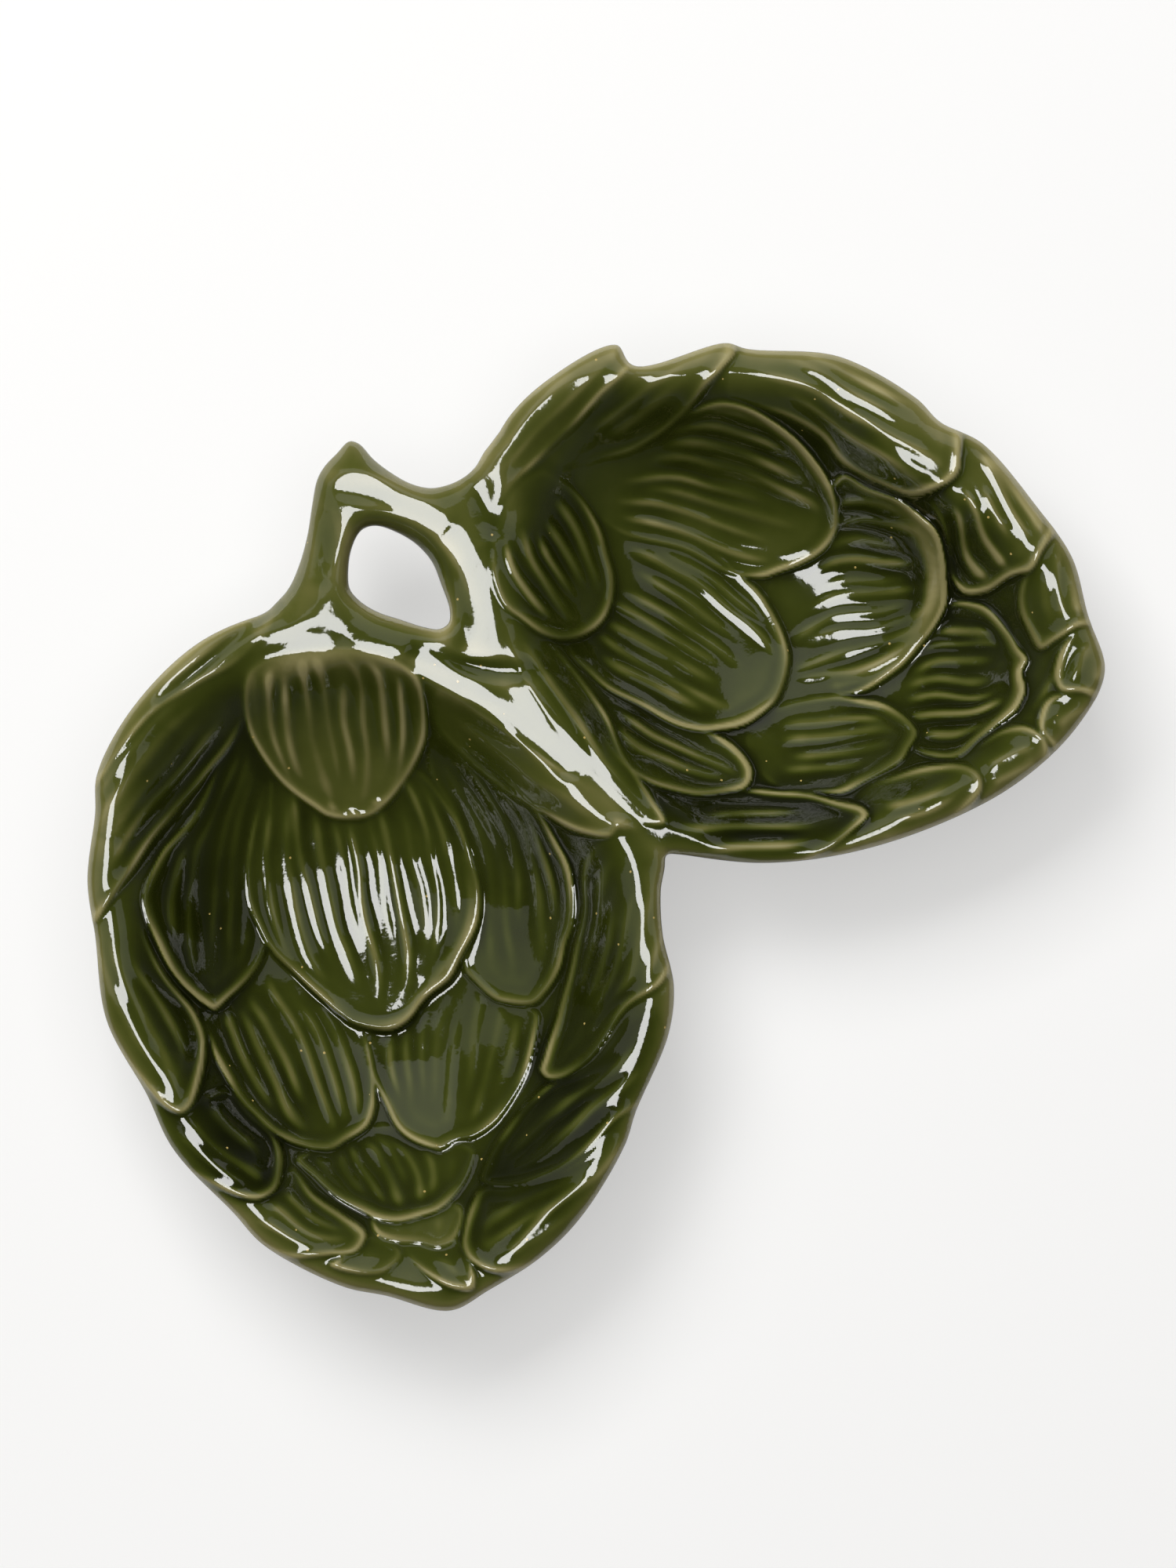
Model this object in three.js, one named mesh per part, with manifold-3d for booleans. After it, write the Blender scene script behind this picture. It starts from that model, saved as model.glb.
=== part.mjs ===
// Antipasto dish: two artichoke-shaped bowls joined side by side, with the looped stem as handle.
// Millimetres, +Z up. The origin is on the table, under the middle of the dish.
import * as THREE from "three";
import { mergeVertices } from "three/addons/utils/BufferGeometryUtils.js";
import Module from "manifold-3d";

const wasm = await Module();
wasm.setup();

// Whole dish in plan
const DISH_WIDTH = 269;
const DISH_DEPTH = 256;

// Heights above the table
const FOOT_HEIGHT = 4;
const BASE_THICKNESS = 6;
const RIM_HEIGHT = 45;

// Bowl wall
const RIM_WIDTH = 15;
const RIM_BLEND = 14;
const MOUTH_DROP = 4.5;
const WELL_ROUNDNESS = 2.7;
const WALL_ROUNDNESS = 1.35;
const SEAT_SHARE = 0.5;

// Rolled edge of the rim: its drop, its width, the upright band below it, and where it fades at a joint
const RIM_ROLL = 6.5;
const RIM_CURVE = 8;
const RIM_BAND = 0.6;
const JOINT_FADE = 10;

// Foot rings, half sizes along and across the bowl
const FOOT_LENGTH = 41;
const FOOT_BREADTH = 32;
const FOOT_WIDTH = 6;
const FOOT_EDGE = 1;

// Moulded bracts: thickness at the base, tip and thinned edge, and their margin to the rim's edge
const BRACT_BASE = 0.5;
const BRACT_TIP = 3;
const BRACT_EDGE = 1;
const BRACT_MARGIN = 1.2;
const BEAD_RISE = 0.4;
const RIB_PITCH = 10;
const RIB_DEPTH = 0.7;

// Shares of a bract's length and half width
const WIDEST_SHARE = 0.55;
const NECK_SHARE = 0.6;
const BULGE_SHARE = 0.08;
const BEAD_SHARE = 0.93;
const RIBS_SHARE = 0.82;

// Stem handle: its thickness and the rounding of its edges
const STEM_THICKNESS = 14;
const STEM_EDGE = 6;

// Line of slip between two pieces
const LUTE_GAP = 0.3;

// Facets
const AROUND = 56;
const OUTLINE_STEPS = 720;
const STEM_EDGE_STEPS = 3;
const FOOT_STEPS = 14;

const UNDERSIDE = FOOT_HEIGHT + LUTE_GAP;
const FLOOR = UNDERSIDE + BASE_THICKNESS;
const MOUTH_HEIGHT = RIM_HEIGHT - MOUTH_DROP;
const EDGE_HEIGHT = RIM_HEIGHT - RIM_ROLL - RIM_BAND;

// The well's mouth follows the rim's swells softly: its reach is an average over directions this far apart.
const MOUTH_TURN = THREE.MathUtils.degToRad(5);

// The plan is drawn from the dish's middle, in units of which the dish is 269 wide and 256 deep.
const SCALE_ACROSS = DISH_WIDTH / 269;
const SCALE_DEEP = DISH_DEPTH / 256;

function spot([x, y]) {
  return new THREE.Vector2(x * SCALE_ACROSS, y * SCALE_DEEP);
}

// The rim's plan runs clockwise from the stem, through the notches and swells of the rim bracts.
// Between the two joined spots, counterclockwise, it meets the stem and the other bowl.
// A bract is given by the middle of its base, its tip, its greatest width and its sideways bow.
// The neighbour's side of the seam is 1 on the left of the seam's line, -1 on the right of it.
const LEFT_BOWL = {
  side: "left",
  neighbour: 1,
  centre: [-58, -36],
  turn: -79,
  joined: [[18.5, -8.5], [-85.5, 57.5]],
  rim: [
    [-85.5, 57.5], [-74, 59.5], [-62, 56.5], [-42, 51.5], [-25, 43], [0, 16], [13, 3], [18.5, -8],
    [17.5, -17], [18, -28], [21, -42], [19.5, -55], [11, -75], [8, -84], [-3.5, -103], [-14, -113.5],
    [-28, -122.5], [-38.5, -128], [-55.5, -124], [-67, -121.5], [-88, -110.5], [-96, -102],
    [-112, -85], [-119, -70.5], [-129.5, -51], [-132.5, -29], [-134.5, -14], [-132.5, 3.5],
    [-132, 14], [-122, 32.5], [-105, 49],
  ],
  bracts: [
    { base: [-71, 50], tip: [-64, 1], width: 49, bow: 0 },
    { base: [-66, 20], tip: [-56, -53], width: 62, bow: 0 },
    { base: [-93, 26], tip: [-101, -48], width: 41, bow: 0 },
    { base: [-38, 22], tip: [-19, -48], width: 41, bow: 0 },
    { base: [-95, 42], tip: [-132, -24], width: 21, bow: -3 },
    { base: [-87, 55], tip: [-132, 4], width: 11, bow: -6 },
    { base: [-44, 40], tip: [3, -3], width: 22, bow: 0 },
    { base: [8, -2], tip: [-10, -66], width: 22, bow: 4 },
    { base: [14, -30], tip: [-27, -93], width: 39, bow: 5 },
    { base: [-5, -88], tip: [-32, -115], width: 20, bow: 1 },
    { base: [-36, -40], tip: [-42, -83], width: 44, bow: 0 },
    { base: [-88, -36], tip: [-69, -85], width: 41, bow: -2 },
    { base: [-126, -20], tip: [-109, -77], width: 26, bow: 0 },
    { base: [-108, -69], tip: [-87, -98], width: 24, bow: 0 },
    { base: [-91, -92], tip: [-64, -113], width: 21, bow: -2 },
    { base: [-58, -71], tip: [-54, -103], width: 48, bow: 0 },
    { base: [-49, -96], tip: [-47, -110], width: 23, bow: 0 },
    { base: [-60, -106], tip: [-56, -122], width: 17, bow: 0 },
    { base: [-41, -108], tip: [-38, -126], width: 21, bow: 0 },
  ],
};

const RIGHT_BOWL = {
  side: "right",
  neighbour: -1,
  centre: [51.5, 57.5],
  turn: -12,
  joined: [[-28, 100], [18, -7]],
  rim: [
    [-25, 106], [-14, 117.5], [5.5, 127.5], [10, 122], [34, 128], [40, 126.5], [64, 124.5],
    [84.5, 113.5], [91, 107], [102, 101.5], [117, 84], [126, 71], [130, 56], [134.5, 41], [127, 26],
    [111, 11], [90, 0], [66, -7.5], [44, -10], [24, -8], [11, -5.5], [-3.5, 8.5], [-18, 24],
    [-29, 41], [-33, 60], [-33, 77], [-30, 93],
  ],
  bracts: [
    { base: [-25, 84], tip: [3, 53], width: 33, bow: 0 },
    { base: [0, 67], tip: [50, 38], width: 46, bow: 0 },
    { base: [-1, 98], tip: [63, 75], width: 39, bow: 4 },
    { base: [46, 69], tip: [93, 59], width: 54, bow: 0 },
    { base: [-22, 94], tip: [37, 124], width: 19, bow: 0 },
    { base: [-32, 83], tip: [6, 126], width: 18, bow: 2 },
    { base: [35, 120], tip: [93, 92], width: 28, bow: 3 },
    { base: [86, 96], tip: [112, 67], width: 29, bow: 0 },
    { base: [109, 73], tip: [121, 46], width: 19, bow: 5 },
    { base: [121, 53], tip: [130, 31], width: 17, bow: 0 },
    { base: [76, 41], tip: [114, 42], width: 42, bow: 0 },
    { base: [41, 26], tip: [85, 23], width: 24, bow: -1 },
    { base: [1, 38], tip: [41, 11], width: 27, bow: -1 },
    { base: [-23, 55], tip: [13, 2], width: 16, bow: 0 },
    { base: [11, 5], tip: [70, 4], width: 18, bow: -4 },
    { base: [65, 9], tip: [101, 14], width: 17, bow: -4 },
    { base: [94, 20], tip: [119, 23], width: 15, bow: -2 },
    { base: [120, 45], tip: [113, 27], width: 10, bow: 0 },
  ],
};

// The two bowls meet on an upright plane through this line, from the stem to the outer notch.
const SEAM_START = [-52, 66];
const SEAM_END = [19, -9.5];

// Outlines of the stem, clockwise, which runs on under the rims, and of its finger hole, counterclockwise
const STEM_OUTLINE = [
  [-93, 50], [-85.6, 58.2], [-81.5, 62.8], [-78.6, 69], [-76.3, 77], [-75, 85], [-73.7, 91.5],
  [-71.8, 95], [-64.2, 102.3], [-58.6, 96.9], [-53.7, 93.2], [-49, 90.6], [-43.8, 89.4], [-39.2, 90.2],
  [-35.3, 92], [-32, 94.8], [-29, 99.6], [-20, 107.5], [-12, 92], [-16, 62], [-18, 38], [-42, 36],
  [-72, 42],
];
const FINGER_HOLE = [
  [-65.4, 66], [-64.9, 63], [-62.3, 60.2], [-57.8, 58], [-51.6, 56.2], [-45.4, 54.4], [-41.3, 53.8],
  [-39.2, 55], [-38.7, 57.5], [-40.9, 63.9], [-43.4, 70], [-47.5, 74.6], [-52.6, 77.7], [-58.2, 79.4],
  [-61.9, 78.2], [-64.6, 73],
];

function loft(rings) {
  const positions = [];
  const triangles = [];
  const count = rings[0].length;
  for (const ring of rings) {
    for (const point of ring) {
      positions.push(point.x, point.y, point.z);
    }
  }
  for (let i = 0; i < rings.length - 1; i += 1) {
    const here = i * count;
    const next = here + count;
    for (let j = 0; j < count; j += 1) {
      const k = (j + 1) % count;
      triangles.push(here + j, here + k, next + k, here + j, next + k, next + j);
    }
  }
  capRing(positions, triangles, rings[0], 0, true);
  capRing(positions, triangles, rings.at(-1), (rings.length - 1) * count, false);
  return geometryFrom(positions, triangles);
}

function capRing(positions, triangles, ring, start, first) {
  const middle = new THREE.Vector3();
  for (const point of ring) {
    middle.addScaledVector(point, 1 / ring.length);
  }
  const apex = positions.length / 3;
  positions.push(middle.x, middle.y, middle.z);
  for (let j = 0; j < ring.length; j += 1) {
    const k = (j + 1) % ring.length;
    if (first) {
      triangles.push(apex, start + k, start + j);
    } else {
      triangles.push(apex, start + j, start + k);
    }
  }
}

function geometryFrom(positions, triangles) {
  const geometry = new THREE.BufferGeometry();
  geometry.setAttribute("position", new THREE.Float32BufferAttribute(positions, 3));
  geometry.setIndex(triangles);
  return geometry;
}

function solidOf(geometry) {
  const bare = geometry.clone();
  bare.deleteAttribute("normal");
  bare.deleteAttribute("uv");
  const merged = mergeVertices(bare, 1e-4);
  const mesh = new wasm.Mesh({
    numProp: 3,
    vertProperties: new Float32Array(merged.attributes.position.array),
    triVerts: new Uint32Array(merged.index.array),
  });
  return new wasm.Manifold(mesh);
}

function geometryOf(solid) {
  const mesh = solid.getMesh();
  const geometry = geometryFrom(Array.from(mesh.vertProperties), Array.from(mesh.triVerts));
  geometry.computeVertexNormals();
  return geometry;
}

// Distance from a bowl's centre to its rim, by direction in plan.
function rimReach(bowl) {
  const offsets = bowl.rim.map((point) => spot(point).sub(bowl.middle));
  const points = offsets.map(({ x, y }) => new THREE.Vector3(x, y, 0));
  const curve = new THREE.CatmullRomCurve3(points, true);
  const samples = curve.getPoints(OUTLINE_STEPS).map((p) => [Math.atan2(p.y, p.x), Math.hypot(p.x, p.y)]);
  samples.sort((a, b) => a[0] - b[0]);
  const first = samples[0];
  const last = samples.at(-1);
  const ends = [[last[0] - 2 * Math.PI, last[1]], ...samples, [first[0] + 2 * Math.PI, first[1]]];
  return (angle) => {
    const wrapped = Math.atan2(Math.sin(angle), Math.cos(angle));
    const after = ends.findIndex((sample) => sample[0] > wrapped);
    const [a0, r0] = ends[after - 1];
    const [a1, r1] = ends[after];
    return THREE.MathUtils.mapLinear(wrapped, a0, a1, r0, r1);
  };
}

// Distance from a bowl's centre to its well's mouth, by direction.
function wellMouth(bowl) {
  return (angle) => {
    const nearby = [-2, -1, 0, 1, 2].map((k) => bowl.reach(angle + k * MOUTH_TURN));
    return nearby.reduce((sum, reach) => sum + reach / nearby.length, 0) - RIM_WIDTH;
  };
}

// By direction, 1 where the rim's edge is free and 0 where it meets the stem or the other bowl.
function rimFreedom(bowl) {
  const whole = 2 * Math.PI;
  const [from, to] = bowl.joined.map((point) => spot(point).sub(bowl.middle).angle());
  const stretch = THREE.MathUtils.euclideanModulo(to - from, whole);
  return (angle) => {
    const past = THREE.MathUtils.euclideanModulo(angle - from, whole);
    const within = Math.max(0, Math.min(past, stretch - past)) * bowl.reach(angle);
    return 1 - THREE.MathUtils.smoothstep(within, 0, JOINT_FADE);
  };
}

function smoothMin(a, b, blend) {
  const mix = THREE.MathUtils.clamp(0.5 + (b - a) / (2 * blend), 0, 1);
  return THREE.MathUtils.lerp(b, a, mix) - blend * mix * (1 - mix);
}

// Height of the plain bowl's upper skin: a rounded well that runs out into a broad rim with a rolled edge.
function upperSkin(bowl, radius, angle) {
  const well = FLOOR + (MOUTH_HEIGHT - FLOOR) * (radius / bowl.mouth(angle)) ** WELL_ROUNDNESS;
  const inward = THREE.MathUtils.clamp((bowl.reach(angle) - radius) / RIM_CURVE, 0, 1);
  const roll = RIM_ROLL * (1 - Math.sqrt(1 - (1 - inward) ** 2));
  return smoothMin(RIM_HEIGHT, well, RIM_BLEND) - roll * bowl.freedom(angle);
}

// Height of the outer skin: flat over the foot, then flaring up to the rim.
function lowerSkin(share) {
  const flare = Math.max(0, (share - SEAT_SHARE) / (1 - SEAT_SHARE));
  return UNDERSIDE + (EDGE_HEIGHT - UNDERSIDE) * flare ** WALL_ROUNDNESS;
}

function ringAt(bowl, radiusOf, heightOf, turn = 0) {
  const ring = [];
  for (let j = 0; j < AROUND; j += 1) {
    const angle = (2 * Math.PI * (j + turn)) / AROUND;
    const radius = radiusOf(angle);
    const x = bowl.middle.x + radius * Math.cos(angle);
    const y = bowl.middle.y + radius * Math.sin(angle);
    ring.push(new THREE.Vector3(x, y, heightOf(radius, angle)));
  }
  return ring;
}

const OUTER_SHARES = [0.3, SEAT_SHARE, 0.6, 0.7, 0.8, 0.9];
const WELL_SHARES = [1, 0.9, 0.78, 0.64, 0.48, 0.3, 0.12];
const ROLL_SHARES = [0, 0.1, 0.4, 1];

function bowlShell(bowl) {
  const upper = (radius, angle) => upperSkin(bowl, radius, angle);
  const rings = [];
  for (const share of OUTER_SHARES) {
    rings.push(ringAt(bowl, (angle) => bowl.reach(angle) * share, () => lowerSkin(share)));
  }
  rings.push(ringAt(bowl, bowl.reach, () => EDGE_HEIGHT));
  for (const share of ROLL_SHARES) {
    rings.push(ringAt(bowl, (angle) => bowl.reach(angle) - RIM_CURVE * share, upper));
  }
  for (const share of WELL_SHARES) {
    rings.push(ringAt(bowl, (angle) => bowl.mouth(angle) * share, upper));
  }
  return loft(rings);
}

// The space that a bowl fills, well and all, grown by a gap and carried up past the rim. Its facets can be
// turned by a share of a facet, so that no edge of it lies on an edge of the shell.
function bowlEnvelope(bowl, gap, top, turn = 0) {
  const rings = [];
  for (const share of OUTER_SHARES) {
    rings.push(ringAt(bowl, (angle) => bowl.reach(angle) * share + gap, () => lowerSkin(share) - gap, turn));
  }
  rings.push(ringAt(bowl, (angle) => bowl.reach(angle) + gap, () => EDGE_HEIGHT - gap, turn));
  rings.push(ringAt(bowl, (angle) => bowl.reach(angle) + gap, () => top, turn));
  return loft(rings);
}

// Half width of a bract from base to tip, as a share of its greatest half width.
function bractOutline(along) {
  if (along < WIDEST_SHARE) {
    return 1 - (1 - NECK_SHARE) * (1 - along / WIDEST_SHARE) ** 2;
  }
  return Math.sqrt(1 - ((along - WIDEST_SHARE) / (1 - WIDEST_SHARE)) ** 2);
}

const BRACT_ROWS = [0, 0.35, 0.62, 0.82, 0.94, 0.99];

// A bract is a thin scale that rises off the bowl's skin towards its tip, with raised ribs and edges.
function bractSolid(bowl, bract) {
  const base = spot(bract.base);
  const tip = spot(bract.tip);
  const width = bract.width * SCALE_ACROSS;
  const bowed = bract.bow * SCALE_ACROSS;
  const axis = tip.clone().sub(base);
  const side = new THREE.Vector2(-axis.y, axis.x).normalize();
  const ribs = Math.max(2, Math.round(width / RIB_PITCH));
  const columns = [-1, -BEAD_SHARE];
  for (let k = 0; k <= 2 * ribs; k += 1) {
    columns.push(RIBS_SHARE * (k / ribs - 1));
  }
  columns.push(BEAD_SHARE, 1);
  const rings = BRACT_ROWS.map((along) => {
    const half = (width / 2) * bractOutline(along);
    const lift = THREE.MathUtils.lerp(BRACT_BASE, BRACT_TIP, along);
    const upper = [];
    const lower = [];
    columns.forEach((across, k) => {
      const bow = bowed * 4 * along * (1 - along);
      const back = along - BULGE_SHARE * (1 - along) * (1 - across ** 2);
      const point = base.clone().addScaledVector(axis, back).addScaledVector(side, bow + half * across);
      const dx = point.x - bowl.middle.x;
      const dy = point.y - bowl.middle.y;
      const radius = Math.hypot(dx, dy);
      const angle = Math.atan2(dy, dx);
      const skin = upperSkin(bowl, radius, angle);
      const root = (skin + lowerSkin(Math.min(1, radius / bowl.reach(angle)))) / 2;
      const edge = k === 0 || k === columns.length - 1;
      const bead = k === 1 || k === columns.length - 2;
      const groove = k % 2 === 0;
      let height = lift;
      if (edge) {
        height = Math.min(lift, BRACT_EDGE);
      } else if (bead) {
        height = lift + BEAD_RISE;
      } else if (groove) {
        height = lift - RIB_DEPTH * Math.sin(Math.PI * along);
      }
      upper.push(new THREE.Vector3(point.x, point.y, skin + height));
      lower.push(new THREE.Vector3(point.x, point.y, root));
    });
    return [...lower, ...upper.reverse()];
  });
  return loft(rings);
}

// Everything on one side of the upright seam plane, less half the slip line.
function seamSide(side) {
  const start = spot(SEAM_START);
  const end = spot(SEAM_END);
  const run = end.clone().sub(start);
  const extent = 4 * run.length();
  const normal = new THREE.Vector2(-run.y, run.x).normalize().multiplyScalar(side);
  const middle = start.clone().lerp(end, 0.5).addScaledVector(normal, extent / 2 - LUTE_GAP / 2);
  const block = new THREE.BoxGeometry(extent, extent, extent);
  block.rotateZ(run.angle());
  block.translate(middle.x, middle.y, 0);
  return solidOf(block);
}

function bowlSolid(bowl) {
  const trim = solidOf(bowlEnvelope(bowl, -BRACT_MARGIN, 2 * RIM_HEIGHT, 0.5));
  let solid = solidOf(bowlShell(bowl));
  for (const bract of bowl.bracts) {
    solid = solid.add(solidOf(bractSolid(bowl, bract)).intersect(trim));
  }
  return solid.subtract(seamSide(bowl.neighbour));
}

function stemHandle() {
  const shape = new THREE.Shape(STEM_OUTLINE.map(spot));
  shape.holes.push(new THREE.Path(FINGER_HOLE.map(spot)));
  const plate = new THREE.ExtrudeGeometry(shape, {
    depth: STEM_THICKNESS - 2 * STEM_EDGE,
    bevelSize: STEM_EDGE,
    bevelOffset: -STEM_EDGE,
    bevelThickness: STEM_EDGE,
    bevelSegments: STEM_EDGE_STEPS,
  }).translate(0, 0, RIM_HEIGHT - STEM_THICKNESS + STEM_EDGE);
  let solid = solidOf(plate);
  for (const bowl of [LEFT_BOWL, RIGHT_BOWL]) {
    solid = solid.subtract(solidOf(bowlEnvelope(bowl, LUTE_GAP, 2 * RIM_HEIGHT)));
  }
  return solid;
}

function footRing() {
  const shape = new THREE.Shape();
  shape.absellipse(0, 0, FOOT_LENGTH - FOOT_EDGE, FOOT_BREADTH - FOOT_EDGE, 0, 2 * Math.PI);
  const opening = new THREE.Path();
  const inner = FOOT_WIDTH - FOOT_EDGE;
  opening.absellipse(0, 0, FOOT_LENGTH - inner, FOOT_BREADTH - inner, 0, 2 * Math.PI);
  shape.holes.push(opening);
  return new THREE.ExtrudeGeometry(shape, {
    depth: FOOT_HEIGHT - 2 * FOOT_EDGE,
    bevelSize: FOOT_EDGE,
    bevelThickness: FOOT_EDGE,
    bevelSegments: 1,
    curveSegments: FOOT_STEPS,
  }).translate(0, 0, FOOT_EDGE);
}

const glaze = new THREE.MeshStandardMaterial({ color: 0x4a5227, roughness: 0.12, metalness: 0 });
const clay = new THREE.MeshStandardMaterial({ color: 0xc3ab8b, roughness: 0.85, metalness: 0 });

for (const bowl of [LEFT_BOWL, RIGHT_BOWL]) {
  bowl.middle = spot(bowl.centre);
  bowl.reach = rimReach(bowl);
  bowl.mouth = wellMouth(bowl);
  bowl.freedom = rimFreedom(bowl);
}

const dish = new THREE.Group();

function place(name, geometry, material) {
  const mesh = new THREE.Mesh(geometry, material);
  mesh.name = name;
  dish.add(mesh);
  return mesh;
}

for (const bowl of [LEFT_BOWL, RIGHT_BOWL]) {
  place(`${bowl.side}_bowl`, geometryOf(bowlSolid(bowl)), glaze);
  const ring = place(`${bowl.side}_foot_ring`, footRing(), clay);
  ring.position.set(bowl.middle.x, bowl.middle.y, 0);
  ring.rotation.z = THREE.MathUtils.degToRad(bowl.turn);
}
place("stem_handle", geometryOf(stemHandle()), glaze);

export default dish;
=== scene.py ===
"""Antipasto dish in olive glaze: two artichoke-shaped bowls and the stem between them as a handle.

The plan, heights and bracts follow the part's source and are in millimetres. Meshes are in metres.
"""

import math
from collections import namedtuple

import bpy
import numpy as np
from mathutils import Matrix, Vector
from mathutils.geometry import delaunay_2d_cdt


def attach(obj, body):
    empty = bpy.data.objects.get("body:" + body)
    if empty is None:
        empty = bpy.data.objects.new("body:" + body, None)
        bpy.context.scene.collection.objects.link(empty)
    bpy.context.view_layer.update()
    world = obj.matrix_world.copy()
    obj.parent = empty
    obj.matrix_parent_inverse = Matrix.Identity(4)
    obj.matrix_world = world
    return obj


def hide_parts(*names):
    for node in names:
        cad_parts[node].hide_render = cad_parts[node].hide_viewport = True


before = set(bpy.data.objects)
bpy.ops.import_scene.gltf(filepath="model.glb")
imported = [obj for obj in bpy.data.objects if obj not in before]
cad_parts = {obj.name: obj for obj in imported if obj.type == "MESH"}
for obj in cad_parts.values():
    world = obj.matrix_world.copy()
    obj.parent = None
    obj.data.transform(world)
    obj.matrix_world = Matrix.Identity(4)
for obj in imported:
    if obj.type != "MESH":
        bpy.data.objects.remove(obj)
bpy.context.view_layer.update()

MM = 0.001

# The camera looks straight down from here, and its frame is this long at the rim.
CAMERA_PLACE = np.array((-2.16, 11.33, 1500.0))
FRAME_LENGTH = 412.0
SENSOR_WIDTH = 36.0

# Heights above the table
UNDERSIDE = 4.3
FLOOR = 10.3
RIM_HEIGHT = 45.0
TOP_LIMIT = 48.2

# Bowl wall
RIM_WIDTH = 15.0
RIM_ROLL = 2.4
WELL_TOP = 40.5
WELL_ROUNDNESS = 2.7
WALL_ROUNDNESS = 1.35
SEAT_SHARE = 0.5
WALL_TOP = 37.4
RIM_BLEND = 10.0
UNDER_BLEND = 5.0
NOTCH_BLEND = 3.0
THINNEST = 0.8

# The well follows the rim's lobes softly: spread and reach of the softening in degrees
WELL_SOFTNESS = 7
WELL_SOFT_REACH = 30

# The rim is crowned: it falls off gently towards its edge, and swells by hand. The stem is rounder.
CROWN_DROP = 1.7
CROWN_SPREAD = 4.0
RIM_SWELL = 0.45
RIM_SWELL_SPREAD = 8.0
RIM_SWELL_REACH = 9.0
STEM_DROP = 2.6
STEM_SPREAD = 6.5

# The ridge between the bowls is broader than the rim.
RIDGE_EXTRA = 3.0
RIDGE_SPREAD = 16.0

# The right bowl's near rim is narrower and its far rim broader.
RimChange = namedtuple("RimChange", "x y extra spread")
RIM_CHANGES = [RimChange(50.0, -4.0, -7.0, 30.0), RimChange(90.0, 98.0, 7.0, 30.0)]

# Stem handle
STEM_THICKNESS = 14.0
STEM_RADIUS = 7.0
STEM_ROLL = 4.0
STEM_BLEND = 1.0
STEM_LIP = 0.6
STEM_FADE = 30.0

# Distances over which the stem's form comes in, from its own outline and from the bowls' rims
STEM_ROLL_RUN = (5, -2)
STEM_CROWN_RUN = (4, -4)
STEM_CROWN_RIM_RUN = (-9, 1)
STEM_FADE_RUN = (-9, 8)
STEM_FADE_RIM_RUN = (5, -2)
STEM_GLAZE_RUN = (0, 4)

# The stem's outline is measured left of and beyond the first corner, and its piece lies so by the second.
STEM_CORNER = (-6, 26)
STEM_PIECE_CORNER = (-15, 30)
STEM_FAR = 60.0

# The wells' floors lean, so that each is lowest a little beyond its middle.
FLOOR_LEAN = 24.0

# Foot rings, half sizes along and across the bowl
FOOT_LENGTH = 41.0
FOOT_BREADTH = 32.0
FOOT_WIDTH = 6.0
FOOT_CORNER = 1.2
FOOT_STEPS = 128
FOOT_CORNER_STEPS = 3

# The glaze skin keeps this far inside the source's outline, whose facets cut its corners.
OUTLINE_INSET = 0.5

# Spacing of the rim's outline, and how many of its points are searched for the nearest
OUTLINE_STEP = 0.3
RIM_SEARCH = 64

# Points on each span of a curve
RIM_SPAN = 40
STEM_SPAN = 8
BRACT_SPAN = 6
FOLD_SPAN = 8

# Spacing of the mesh inside, how many such steps it takes outside, and its spacing round the rim
STEP = 0.56
UNDER_STEP = 2
RIM_STEP = 0.6
CLEARANCE = 0.6 * STEP

# The skins end this far inside the outline. Rings close the edge: shares of the roll, then degrees below it.
RIM_CUT = 0.4
ROLL_SHARES = (0.66, 0.33, 0.0)
LOWER_TURNS = (30, 60)
LEAST_EDGE = 0.5

# Half sizes of the grid of heights
GRID_REACH = (138, 132)

# A distance past any in the dish, squared, and a height over all of it
FAR_SQUARED = 1e6
OVER_ALL = 200.0

# Bracts, folds and flats lie on a sheet of 0.206 mm squares, counted right and down from its corner.
SHEET_UNIT = 0.206
SHEET_MIDDLE = (760.5, 1055)

# base and tip are the ends of a bract's middle line, and its ribs run along that line.
# Each bract's last value is painted shading, matched to how that bract is lit: above zero it darkens the
# glaze as painted shade, below zero it lightens it as painted light, and low in the left bowl as a painted
# reflection.
Bract = namedtuple("Bract", "base tip outline lift ribs tone", defaults=(2.6, 1.0, 0.0))

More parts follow.
